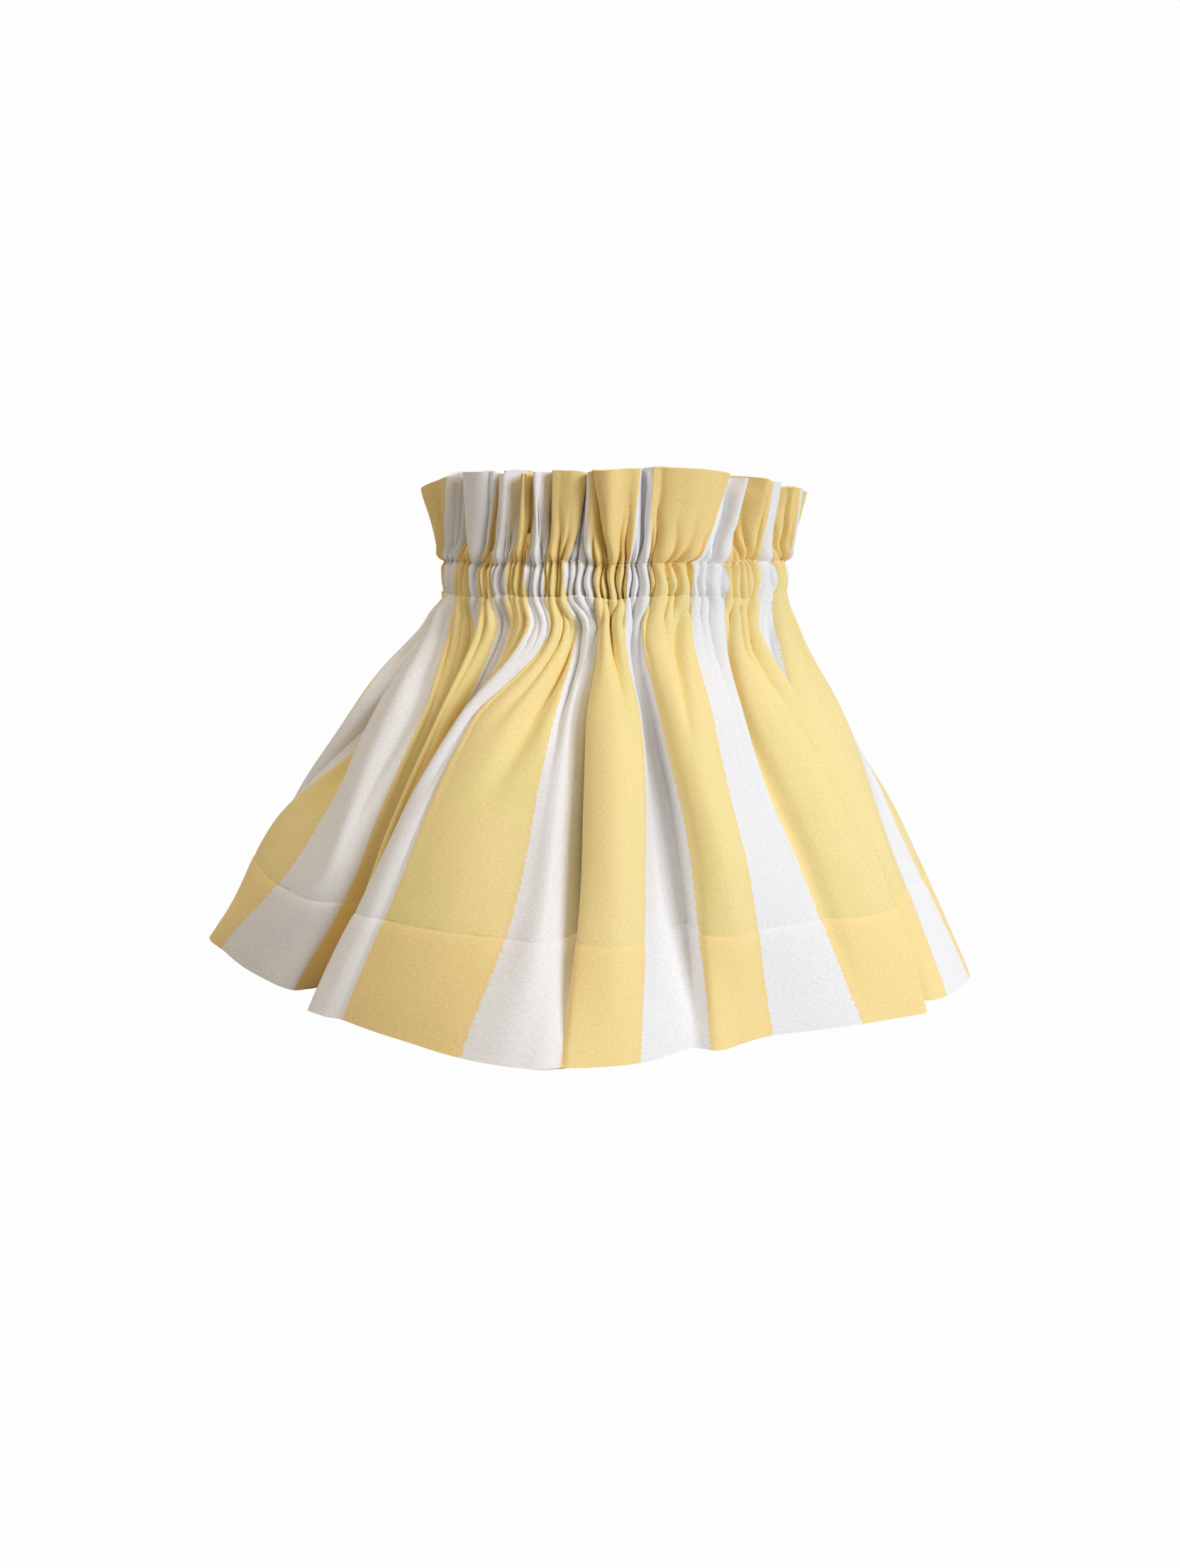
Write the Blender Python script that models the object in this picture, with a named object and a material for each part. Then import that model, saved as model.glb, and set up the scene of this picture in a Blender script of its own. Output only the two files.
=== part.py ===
"""A gathered fabric lampshade: a striped slip-on skirt over a wire frame with a reversible gimbal.

Metres, +Z up, with the photographed side towards -Y. The origin is the middle of the hem's box, on the
table that the frame's bottom ring stands on. The frame's own axis stands a little to the right of that
middle, because the skirt swings to the left.
"""

import math
from collections import namedtuple

import bmesh
import bpy
import numpy as np

MM = 0.001

# Where the frame's axis stands
AXIS_X = 0.0095
AXIS_Y = 0.0001

# Clearances
GAP = 0.0003
HEM_CLEARANCE = 0.0006
PIVOT_CLEARANCE = 0.0003

# Wire frame
WIRE_RADIUS = 0.0020
STRUT_RADIUS = 0.0015
STRUTS = 6
TOP_RING_RADIUS = 0.0465
BOTTOM_RING_RADIUS = 0.0920
RING_STEPS = 72
WIRE_SIDES = 12

# Reversible gimbal
FITTER_HOLE_RADIUS = 0.0145
FITTER_BAND = 0.0045
FITTER_DROP = 0.0200
STRIP = 0.0016
STRIP_WIDTH = 0.0080
ARM_FOOT = 0.0030
PIVOT_ROOM = 0.0010
RIVET_RADIUS = 0.0014
RIVET_HEAD_RADIUS = 0.0024
RIVET_HEAD = 0.0010
ROUND_STEPS = 16

# Cloth cover
STRIPES = 32
HEM_LIFT = 0.0006
SKIRT_HEIGHT = 0.1123
CASING_HEIGHT = 0.0089
FRILL_HEIGHT = 0.0252
CLOTH = 0.0007
FRILL_CLOTH = 0.0012
ELASTIC_THICKNESS = 0.0012
ELASTIC_WIDTH = 0.0080
PLEATS = 64
PLEAT_DEPTH = 0.0034
STITCH_HEIGHT = 0.0006
STITCH_THICKNESS = 0.00025

# Levels of the cloth's rows, as shares of the way down the skirt and up the frill
HEM_STITCH_FALL = 0.765
SKIRT_LEVELS = (0.0, 0.1, 0.26, 0.5, HEM_STITCH_FALL, 1.0)
FRILL_LEVELS = (1.0, 0.4, 0.0)
FRILL_OPENING = 0.7  # under 1, the frill opens soon after the gathers

# How far a folded sheet's corners are drawn out, at the least
BLUNT_CORNER = 0.35
SHARP_CORNER = 0.02
SMOOTH_DEGREES = 40.0

# Radii from the top ring outwards: facing, elastic, pleats
FACING_INNER_RADIUS = TOP_RING_RADIUS + WIRE_RADIUS + GAP
FACING_OUTER_RADIUS = FACING_INNER_RADIUS + CLOTH
ELASTIC_INNER_RADIUS = FACING_OUTER_RADIUS + GAP
ELASTIC_OUTER_RADIUS = ELASTIC_INNER_RADIUS + ELASTIC_THICKNESS
PLEAT_VALLEY_RADIUS = ELASTIC_OUTER_RADIUS + GAP + 2 * CLOTH
PLEAT_CREST_RADIUS = PLEAT_VALLEY_RADIUS + PLEAT_DEPTH
GATHER_RADIUS = (PLEAT_VALLEY_RADIUS + PLEAT_CREST_RADIUS) / 2
FITTER_RADIUS = FITTER_HOLE_RADIUS + FITTER_BAND

# Heights from the table up: skirt, casing and frill, with a stitch row at each gather
SKIRT_TOP_Z = HEM_LIFT + SKIRT_HEIGHT
CASING_BOTTOM_Z = SKIRT_TOP_Z + STITCH_HEIGHT + 2 * GAP
CASING_TOP_Z = CASING_BOTTOM_Z + CASING_HEIGHT
FRILL_BOTTOM_Z = CASING_TOP_Z + STITCH_HEIGHT + 2 * GAP
TOP_RING_Z = (CASING_BOTTOM_Z + CASING_TOP_Z) / 2
PIVOT_DROP = WIRE_RADIUS + STRIP_WIDTH / 2 + PIVOT_ROOM

# A fold line runs from the gathers down to the hem. Its stripe counts stripe edges round the cloth, and its
# angles are in degrees from the front, positive to the right. Its outs are mm that the cloth stands out from
# the straight line between the gathers and the frame's bottom ring. It is given at four levels, which are
# shares of the way down.
FOLD_LEVELS = np.array([0.0, 0.3, 0.65, 1.0])
FoldLine = namedtuple("FoldLine", "stripe waist upper upper_out lower lower_out hem hem_out")
FRONT_FOLDS = [
    FoldLine(-0.60, -111.0, -111.0, 15.0, -116.0, 28.0, -125.0, 35.0),
    FoldLine(0.25, -100.5, -97.0, 5.0, -106.0, 10.0, -114.0, 14.0),
    FoldLine(0.75, -96.5, -88.0, 20.0, -102.0, 29.0, -111.0, 34.0),
    FoldLine(1.00, -94.0, -74.5, 20.0, -97.0, 32.0, -109.0, 38.0),
    FoldLine(2.00, -86.0, -72.0, 6.0, -88.0, 34.0, -97.0, 42.0),
    FoldLine(2.55, -81.0, -70.5, 1.5, -74.0, 28.0, -86.0, 43.0),
    FoldLine(3.10, -76.0, -69.5, 15.0, -59.0, 26.5, -77.0, 35.5),
    FoldLine(3.50, -70.0, -58.0, 17.0, -51.5, 27.0, -66.0, 29.0),
    FoldLine(4.00, -63.0, -49.2, 12.0, -48.5, 20.5, -55.5, 23.0),
    FoldLine(5.20, -53.0, -47.4, 1.5, -47.3, 3.5, -54.3, 7.0),
    FoldLine(6.40, -45.5, -42.7, 12.5, -44.3, 19.5, -51.0, 17.0),
    FoldLine(7.60, -38.5, -39.5, 2.0, -42.6, 4.5, -47.6, 7.0),
    FoldLine(8.60, -31.5, -37.3, 10.0, -42.0, 17.0, -46.2, 18.0),
    FoldLine(9.10, -28.0, -35.9, 13.5, -41.2, 24.0, -45.5, 28.0),
    FoldLine(9.50, -25.5, -34.2, 15.0, -38.5, 25.5, -42.8, 27.5),
    FoldLine(10.00, -22.6, -32.1, 15.0, -35.2, 24.5, -39.6, 26.0),
    FoldLine(10.50, -19.3, -23.5, 14.0, -25.6, 24.5, -28.5, 28.5),
    FoldLine(11.00, -15.9, -14.5, 11.0, -15.3, 22.5, -18.8, 33.5),
    FoldLine(11.35, -13.0, -11.0, 12.5, -11.0, 25.0, -13.0, 35.5),
    FoldLine(11.60, -11.0, -8.8, 13.5, -7.9, 26.0, -9.5, 36.0),
    FoldLine(12.00, -7.4, -7.0, 1.5, -6.5, 13.0, -7.0, 34.5),
    FoldLine(12.25, -5.0, -6.3, 11.5, -5.8, 23.5, -6.0, 34.0),
    FoldLine(12.55, -2.0, -1.0, 15.5, -1.2, 27.5, -2.5, 32.5),
    FoldLine(12.95, 2.2, 4.0, 12.0, 3.0, 23.0, 1.7, 30.0),
    FoldLine(13.30, 4.5, 5.6, 7.0, 5.8, 17.0, 4.5, 29.0),
    FoldLine(13.75, 8.0, 8.2, 0.0, 9.9, 9.0, 7.8, 28.0),
    FoldLine(14.10, 10.5, 8.8, 11.0, 11.3, 20.0, 11.0, 24.0),
    FoldLine(14.45, 15.5, 13.4, 16.0, 15.2, 24.0, 15.8, 20.5),
    FoldLine(15.00, 23.4, 19.8, 13.5, 20.7, 20.5, 21.5, 18.0),
    FoldLine(15.75, 33.0, 27.5, 13.0, 29.3, 19.5, 31.5, 21.0),
    FoldLine(16.05, 36.8, 30.0, 6.5, 32.7, 17.0, 35.5, 23.0),
    FoldLine(16.30, 40.5, 33.0, 11.5, 35.5, 21.5, 38.0, 24.0),
    FoldLine(16.60, 45.0, 39.5, 14.5, 41.0, 24.0, 41.5, 26.0),
    FoldLine(16.90, 50.0, 45.8, 14.0, 47.7, 24.0, 45.0, 28.5),
    FoldLine(17.50, 57.5, 49.5, 0.5, 49.0, 5.0, 46.8, 12.0),
    FoldLine(18.20, 67.0, 55.0, 7.0, 52.0, 15.0, 48.6, 21.0),
    FoldLine(18.60, 73.0, 64.0, 10.0, 56.5, 18.0, 50.6, 25.0),
    FoldLine(19.10, 82.5, 80.0, 9.0, 64.5, 14.5, 54.0, 26.5),
    FoldLine(20.00, 93.5, 91.0, 7.0, 69.5, 17.0, 61.8, 27.0),
    FoldLine(20.50, 99.0, 97.0, 5.0, 80.0, 17.0, 75.0, 21.0),
    FoldLine(21.00, 105.0, 103.0, 4.0, 91.0, 15.5, 88.0, 19.5),
    FoldLine(21.70, 114.0, 111.0, -1.0, 101.0, 4.0, 99.0, 9.0),
    FoldLine(22.60, 124.0, 119.0, 9.0, 112.0, 22.0, 110.0, 31.1),
]

# Folds of the unseen back, which alternate evenly between the last front line and the first
BACK_FOLDS = 5
BACK_CREST = (13.0, 26.0, 34.5)
BACK_VALLEY = (1.0, 4.0, 8.0)

# A frill line stands at the stripe's place in the gathers below. At the top it has fanned out to an angle,
# and stands so many mm out from the gathers.
FrillLine = namedtuple("FrillLine", "stripe top top_out")
FRONT_FRILL = [
    FrillLine(1.05, -103.0, 6.5),
    FrillLine(1.60, -94.0, -3.5),
    FrillLine(2.10, -85.0, 7.5),
    FrillLine(2.90, -55.0, 7.5),
    FrillLine(3.60, -51.8, 2.5),
    FrillLine(4.50, -50.8, -5.5),
    FrillLine(5.10, -49.3, 5.5),
    FrillLine(5.45, -43.0, 7.0),
    FrillLine(5.90, -36.6, 5.5),
    FrillLine(6.50, -35.8, -5.5),
    FrillLine(7.15, -35.0, 5.0),
    FrillLine(7.60, -32.0, 6.0),
    FrillLine(8.10, -29.4, -2.5),
    FrillLine(8.50, -26.3, 6.5),
    FrillLine(8.95, -24.8, 0.5),
    FrillLine(9.40, -22.3, 7.0),
    FrillLine(10.00, -19.4, -2.5),
    FrillLine(10.35, -18.0, 5.5),
    FrillLine(10.65, -12.5, 6.0),
    FrillLine(10.95, -8.9, 1.5),
    FrillLine(11.50, -8.3, -6.5),
    FrillLine(12.05, -7.8, 8.5),
    FrillLine(12.40, -2.5, 11.5),
    FrillLine(12.65, 0.6, 8.0),
    FrillLine(12.95, 5.8, 7.5),
    FrillLine(13.50, 7.0, -6.0),
    FrillLine(14.05, 8.3, 7.5),
    FrillLine(14.45, 20.0, 9.0),
    FrillLine(14.90, 32.5, 5.0),
    FrillLine(15.20, 34.5, 0.5),
    FrillLine(15.65, 38.0, 6.5),
    FrillLine(16.30, 42.0, -5.0),
    FrillLine(16.85, 45.0, 8.0),
    FrillLine(17.40, 52.0, 7.0),
    FrillLine(18.10, 57.5, -5.0),
    FrillLine(18.70, 61.0, 7.0),
    FrillLine(19.20, 67.0, 7.5),
    FrillLine(19.80, 74.0, -4.5),
    FrillLine(20.40, 82.0, 7.0),
]
BACK_FRILLS = 11
BACK_FRILL_CREST = 7.0
BACK_FRILL_VALLEY = -5.5


def material(name, colour, roughness, metallic=0.0):
    """A plain surface of one colour."""
    made = bpy.data.materials.new(name)
    made.use_nodes = True
    shader = made.node_tree.nodes["Principled BSDF"]
    shader.inputs["Base Color"].default_value = (*colour, 1.0)
    shader.inputs["Roughness"].default_value = roughness
    shader.inputs["Metallic"].default_value = metallic
    return made


def add_object(name, bm, surface, parent, location=(0.0, 0.0, 0.0)):
    """Turn a finished bmesh into a named object under its parent."""
    bmesh.ops.recalc_face_normals(bm, faces=bm.faces)
    mesh = bpy.data.meshes.new(name)
    bm.to_mesh(mesh)
    bm.free()
    mesh.materials.append(surface)
    mesh.shade_smooth()
    mesh.set_sharp_from_angle(angle=math.radians(SMOOTH_DEGREES))
    made = bpy.data.objects.new(name, mesh)
    bpy.context.collection.objects.link(made)
    made.parent = parent
    made.location = location
    return made


def add_empty(name, location, parent=None):
    """A joint's place, or the place of a group of pieces."""
    made = bpy.data.objects.new(name, None)
    bpy.context.collection.objects.link(made)
    made.parent = parent
    made.location = location
    return made


def smooth(places, values, at):
    """Values at some places, joined by a curve that never overshoots a crest or a valley."""
    step = np.diff(places)
    slope = np.diff(values) / step
    turn = np.zeros(len(values))
    turn[0], turn[-1] = slope[0], slope[-1]
    same_way = slope[:-1] * slope[1:] > 0.0
    before, after = 2.0 * step[1:] + step[:-1], step[1:] + 2.0 * step[:-1]
    left = np.where(same_way, slope[:-1], 1.0)
    right = np.where(same_way, slope[1:], 1.0)
    turn[1:-1] = np.where(same_way, (before + after) / (before / left + after / right), 0.0)
    i = np.clip(np.searchsorted(places, at, side="right") - 1, 0, len(step) - 1)
    s = (at - places[i]) / step[i]
    rise = values[i] * (1 + 2 * s) * (1 - s) ** 2 + values[i + 1] * s**2 * (3 - 2 * s)
    return rise + step[i] * (turn[i] * s * (1 - s) ** 2 - turn[i + 1] * s**2 * (1 - s))


def alternate(first, last, pairs, valley, crest):
    """Lines that share out the cloth and the angles between two lines, valley and crest in turn."""
    lines = []
    for i in range(2 * pairs - 1):
        share = (i + 1) / (2 * pairs)
        between = [a + share * (b - a) for a, b in zip(first, last)]
        lines.append((between, valley if i % 2 == 0 else crest))
    return lines


def whole_fold_lines():
    """The front's fold lines and the back's, once round the cloth."""
    start, end = FRONT_FOLDS[-1], FRONT_FOLDS[0]
    first = (start.stripe, start.waist, start.upper, start.lower, start.hem)
    last = (end.stripe + STRIPES, end.waist + 360.0, end.upper + 360.0, end.lower + 360.0, end.hem + 360.0)
    back = alternate(first, last, BACK_FOLDS, BACK_VALLEY, BACK_CREST)
    return FRONT_FOLDS + [FoldLine(s, w, u, out[0], l, out[1], h, out[2]) for (s, w, u, l, h), out in back]


def whole_frill_lines():
    """The front's frill lines and the back's, once round the cloth."""
    start, end = FRONT_FRILL[-1], FRONT_FRILL[0]
    first = (start.stripe, start.top)
    last = (end.stripe + STRIPES, end.top + 360.0)
    back = alternate(first, last, BACK_FRILLS, BACK_FRILL_VALLEY, BACK_FRILL_CREST)
    return FRONT_FRILL + [FrillLine(s, top, out) for (s, top), out in back]


def around(stripes, values, turn, columns):
    """Values at some stripes, joined smoothly round the cloth, with so much more for each lap."""
    laps = np.floor((columns - stripes[0]) / STRIPES)
    s = np.concatenate(([stripes[-1] - STRIPES], stripes, [stripes[0] + STRIPES, stripes[1] + STRIPES]))
    v = np.concatenate(([values[-1] - turn], values, [values[0] + turn, values[1] + turn]))
    return smooth(s, v, columns - laps * STRIPES) + laps * turn


def columns_of(lines):
    """Every line's stripe and the stripe half way to the next."""
    stripes = [line.stripe for line in lines] + [lines[0].stripe + STRIPES]
    columns = []
    for here, after in zip(stripes, stripes[1:]):
        columns += [here, (here + after) / 2]
    return np.array(columns)


def fold_angle(line, fall):
    """Where round the skirt a fold line stands, a share of the way down."""
    return smooth(FOLD_LEVELS, np.array([line.waist, line.upper, line.lower, line.hem]), fall)


def fold_out(line, fall):
    """How far out a fold line stands, a share of the way down."""
    return smooth(FOLD_LEVELS, np.array([0.0, line.upper_out, line.lower_out, line.hem_out]) * MM, fall)


def plan(angle, reach, z):
    """Points at an angle in degrees from the front and a reach from the axis."""
    a = np.radians(angle)
    return np.stack([reach * np.sin(a), -reach * np.cos(a), np.full_like(a, z)], axis=1)


def skirt_row(lines, columns, fall):
    """The skirt's outer face round one level, a share of the way down."""
    stripes = np.array([line.stripe for line in lines])
    angles = around(stripes, np.array([fold_angle(line, fall) for line in lines]), 360.0, columns)
    outs = around(stripes, np.array([fold_out(line, fall) for line in lines]), 0.0, columns)
    straight = GATHER_RADIUS + fall * (BOTTOM_RING_RADIUS - GATHER_RADIUS)
    return plan(angles, straight + outs, SKIRT_TOP_Z - fall * SKIRT_HEIGHT)


def frill_row(folds, lines, columns, rise):
    """The frill's outer face round one level, a share of the way up."""
    fold_stripes = np.array([line.stripe for line in folds])
    stripes = np.array([line.stripe for line in lines])
    foot = around(fold_stripes, np.array([line.waist for line in folds]), 360.0, columns)
    top = around(stripes, np.array([line.top for line in lines]), 360.0, columns)
    out = around(stripes, np.array([line.top_out * MM for line in lines]), 0.0, columns)
    angles = foot + rise * (top - foot)
    reaches = GATHER_RADIUS + rise**FRILL_OPENING * out
    return plan(angles, reaches, FRILL_BOTTOM_Z + rise * FRILL_HEIGHT)


def offset_row(row, inward):
    """A row moved square to its own line in plan, towards the axis, with its outside corners blunted."""
    edge = np.roll(row, -1, axis=0)[:, :2] - row[:, :2]
    edge /= np.linalg.norm(edge, axis=1)[:, None]
    after = np.stack([-edge[:, 1], edge[:, 0]], axis=1)
    before = np.roll(after, 1, axis=0)
    turn = before[:, 0] * after[:, 1] - before[:, 1] * after[:, 0]
    least = np.where(turn * inward < 0.0, BLUNT_CORNER, SHARP_CORNER)
    mitre = (before + after) / np.maximum(1.0 + np.sum(before * after, axis=1), least)[:, None]
    moved = row.copy()
    moved[:, :2] += inward * mitre
    return moved


def cloth_shell(name, rows, near, far, surface, parent, part=None):
    """A closed sheet between two depths behind the rows of its outer face, all round or over a part."""
    bm = bmesh.new()
    is_loop = part is None
    kept = slice(None) if is_loop else part
    faces = [[offset_row(row, depth)[kept] for row in rows] for depth in (near, far)]
    outer, inner = [[[bm.verts.new(point) for point in row] for row in face] for face in faces]
    count = len(outer[0])
    for i in range(count if is_loop else count - 1):
        j = (i + 1) % count
        for upper, lower in zip(range(len(rows)), range(1, len(rows))):
            for face in (outer, inner):
                bm.faces.new((face[upper][i], face[lower][i], face[lower][j]))
                bm.faces.new((face[upper][i], face[lower][j], face[upper][j]))
        bm.faces.new((outer[0][i], outer[0][j], inner[0][j], inner[0][i]))
        bm.faces.new((outer[-1][i], inner[-1][i], inner[-1][j], outer[-1][j]))
    if not is_loop:
        for end in (0, -1):
            for upper, lower in zip(range(len(rows)), range(1, len(rows))):
                bm.faces.new((outer[upper][end], inner[upper][end], inner[lower][end], outer[lower][end]))
    return add_object(name, bm, surface, parent)


def turned(name, profile, steps, surface, parent, location=(0.0, 0.0, 0.0)):
    """A closed profile of radius and height, turned once round the axis."""
    bm = bmesh.new()
    corners = [bm.verts.new((radius, 0.0, z)) for radius, z in profile]
    edges = [bm.edges.new((a, b)) for a, b in zip(corners, corners[1:] + corners[:1])]
    around_z = {"axis": (0, 0, 1), "cent": (0, 0, 0), "angle": math.tau}
    bmesh.ops.spin(bm, geom=corners + edges, steps=steps, use_merge=True, **around_z)
    return add_object(name, bm, surface, parent, location)


def wire_profile(radius, z):
    """A wire's section with one flat side down."""
    turns = [math.tau * (i + 0.5) / WIRE_SIDES for i in range(WIRE_SIDES)]
    return [(radius + WIRE_RADIUS * math.cos(a), z + WIRE_RADIUS * math.sin(a)) for a in turns]


def flat_ring(inner, outer, bottom, top):
    """A flat ring's section."""
    return [(inner, bottom), (outer, bottom), (outer, top), (inner, top)]


def straight_wire(name, start, end, radius, surface, parent):
    """A round wire between two points."""
    curve = bpy.data.curves.new(name, "CURVE")
    curve.dimensions = "3D"
    curve.bevel_depth = radius
    curve.bevel_resolution = 2
    curve.use_fill_caps = True
    spline = curve.splines.new("POLY")
    spline.points.add(1)
    for point, place in zip(spline.points, (start, end)):
        point.co = (*place, 1.0)
    curve.materials.append(surface)
    made = bpy.data.objects.new(name, curve)
    bpy.context.collection.objects.link(made)
    made.parent = parent
    return made


def build_cover(axis, cotton, thread, rubber):
    """The slip-on cover: one striped panel, in sections that meet at its stitch rows."""
    cover = add_empty("cover_lift", (0.0, 0.0, 0.0), axis)
    folds = whole_fold_lines()
    columns = columns_of(folds)

    skirt_rows = [skirt_row(folds, columns, fall) for fall in SKIRT_LEVELS]
    cloth_shell("skirt", skirt_rows, 0.0, CLOTH, cotton, cover)
    behind = CLOTH + HEM_CLEARANCE
    cloth_shell("hem_facing", skirt_rows[-2:], behind, behind + CLOTH, cotton, cover)

    hem_top, hem = skirt_rows[-2], skirt_rows[-1]
    hem_height = (1.0 - HEM_STITCH_FALL) * SKIRT_HEIGHT
    edges = (GAP / hem_height, (GAP + STITCH_HEIGHT) / hem_height)
    stitch_rows = [hem_top + edge * (hem - hem_top) for edge in edges]
    cloth_shell("hem_stitch_row", stitch_rows, -GAP - STITCH_THICKNESS, -GAP, thread, cover)

    back = (FRONT_FOLDS[-1].stripe + FRONT_FOLDS[0].stripe + STRIPES) / 2
    middle_back = int(np.argmin(np.abs(columns - back)))
    seam = slice(middle_back - 1, middle_back + 2)
    cloth_shell("back_seam", skirt_rows[1:-1], CLOTH + GAP, 2 * CLOTH + GAP, cotton, cover, seam)

    frill = whole_frill_lines()
    frill_rows = [frill_row(folds, frill, columns_of(frill), rise) for rise in FRILL_LEVELS]
    cloth_shell("frill", frill_rows, 0.0, FRILL_CLOTH, cotton, cover)

    turns = np.arange(2 * PLEATS) * 180.0 / PLEATS
    reaches = np.where(np.arange(2 * PLEATS) % 2 == 0, PLEAT_CREST_RADIUS, PLEAT_VALLEY_RADIUS)
    casing_rows = [plan(turns, reaches, z) for z in (CASING_TOP_Z, CASING_BOTTOM_Z)]
    cloth_shell("casing", casing_rows, 0.0, CLOTH, cotton, cover)
    facing = flat_ring(FACING_INNER_RADIUS, FACING_OUTER_RADIUS, CASING_BOTTOM_Z, CASING_TOP_Z)
    turned("casing_facing", facing, RING_STEPS, cotton, cover)
    low, high = TOP_RING_Z - ELASTIC_WIDTH / 2, TOP_RING_Z + ELASTIC_WIDTH / 2
    elastic = flat_ring(ELASTIC_INNER_RADIUS, ELASTIC_OUTER_RADIUS, low, high)
    turned("elastic_band", elastic, RING_STEPS, rubber, cover)

    for name, z in (("upper_stitch_row", CASING_TOP_Z + GAP), ("lower_stitch_row", SKIRT_TOP_Z + GAP)):
        row = flat_ring(GATHER_RADIUS - FRILL_CLOTH, GATHER_RADIUS, z, z + STITCH_HEIGHT)
        turned(name, row, RING_STEPS, thread, cover)


def build_frame(axis, steel):
    """Two wire rings and the struts between them, with the gimbal's lugs and rivets."""
    turned("top_ring", wire_profile(TOP_RING_RADIUS, TOP_RING_Z), RING_STEPS, steel, axis)
    flat_side = WIRE_RADIUS * math.cos(math.pi / WIRE_SIDES)
    turned("bottom_ring", wire_profile(BOTTOM_RING_RADIUS, flat_side), RING_STEPS, steel, axis)

    top_radius = TOP_RING_RADIUS - STRUT_RADIUS
    top_z = TOP_RING_Z - WIRE_RADIUS - STRUT_RADIUS / 2 - GAP
    spread, fall = BOTTOM_RING_RADIUS - top_radius, top_z - flat_side
    share = 1.0 - (WIRE_RADIUS + GAP) / math.hypot(spread, fall)
    ends = ((top_radius, top_z), (top_radius + share * spread, top_z - share * fall))
    for i in range(STRUTS):
        turn = math.tau * i / STRUTS
        places = [(reach * math.sin(turn), -reach * math.cos(turn), z) for reach, z in ends]
        straight_wire(f"strut_{i + 1}", *places, STRUT_RADIUS, steel, axis)


def across(profile, start, end):
    """A profile of Y and Z places, extruded along X."""
    bm = bmesh.new()
    face = bm.faces.new([bm.verts.new((start, y, z)) for y, z in profile])
    made = bmesh.ops.extrude_face_region(bm, geom=[face])
    moved = [item for item in made["geom"] if isinstance(item, bmesh.types.BMVert)]
    bmesh.ops.translate(bm, verts=moved, vec=(end - start, 0.0, 0.0))
    return bm


def circle(radius, start=0.0, end=math.tau, steps=ROUND_STEPS):
    """Points round an arc in the YZ plane, its end left out where it meets its start."""
    count = steps if math.isclose(end - start, math.tau) else steps + 1
    turns = [start + (end - start) * i / steps for i in range(count)]
    return [(radius * math.cos(a), radius * math.sin(a)) for a in turns]


def drill(target, radius):
    """Cut the pivot hole, on the X axis through the target's own origin."""
    bore = across(circle(radius), -TOP_RING_RADIUS, TOP_RING_RADIUS)
    cutter = add_object(f"{target.name}_bore", bore, target.data.materials[0], target)
    cutter.hide_render = True
    cutter.display_type = "WIRE"
    cut = target.modifiers.new("pivot_hole", "BOOLEAN")
    cut.operation = "DIFFERENCE"
    cut.object = cutter


def build_gimbal(axis, steel):
    """The reversible gimbal: two bent arms and the fitter ring, turning on two riveted lugs."""
    pivot = (0.0, 0.0, TOP_RING_Z - PIVOT_DROP)
    gimbal = add_empty("gimbal_tilt", pivot, axis)
    lug_outer = TOP_RING_RADIUS - WIRE_RADIUS - GAP
    lug_inner = lug_outer - STRIP
    arm_outer = lug_inner - GAP
    arm_inner = arm_outer - STRIP
    half = STRIP_WIDTH / 2
    lug_profile = [(half, PIVOT_DROP), (-half, PIVOT_DROP)] + circle(half, math.pi, math.tau)
    for name, side in (("left", -1.0), ("right", 1.0)):
        plate = across(lug_profile, side * lug_inner, side * lug_outer)
        lug = add_object(f"lug_{name}", plate, steel, axis, pivot)
        drill(lug, RIVET_RADIUS + PIVOT_CLEARANCE)
        build_rivet(f"rivet_{name}", side, arm_inner, lug_outer, steel, axis, pivot)
        arm = add_object(f"arm_{name}", arm_mesh(side, arm_inner, arm_outer, half), steel, gimbal)
        drill(arm, RIVET_RADIUS + PIVOT_CLEARANCE)
    ring = flat_ring(FITTER_HOLE_RADIUS, FITTER_RADIUS, -FITTER_DROP, STRIP - FITTER_DROP)
    turned("fitter_ring", ring, RING_STEPS, steel, gimbal)


def build_rivet(name, side, inner, outer, steel, axis, pivot):
    """A rivet's shank through the lug and the arm, with a head at each end."""
    reaches = [
        (inner - GAP - RIVET_HEAD, RIVET_HEAD_RADIUS),
        (inner - GAP, RIVET_HEAD_RADIUS),
        (inner - GAP, RIVET_RADIUS),
        (outer + GAP, RIVET_RADIUS),
        (outer + GAP, RIVET_HEAD_RADIUS),
        (outer + GAP + RIVET_HEAD, RIVET_HEAD_RADIUS),
    ]
    bm = bmesh.new()
    rings = []
    for reach, radius in reaches:
        rings.append([bm.verts.new((side * reach, y, z)) for y, z in circle(radius)])
    for ring, following in zip(rings, rings[1:]):
        for i in range(ROUND_STEPS):
            j = (i + 1) % ROUND_STEPS
            bm.faces.new((ring[i], ring[j], following[j], following[i]))
    bm.faces.new(rings[0])
    bm.faces.new(rings[-1])
    add_object(name, bm, steel, axis, pivot)


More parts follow.
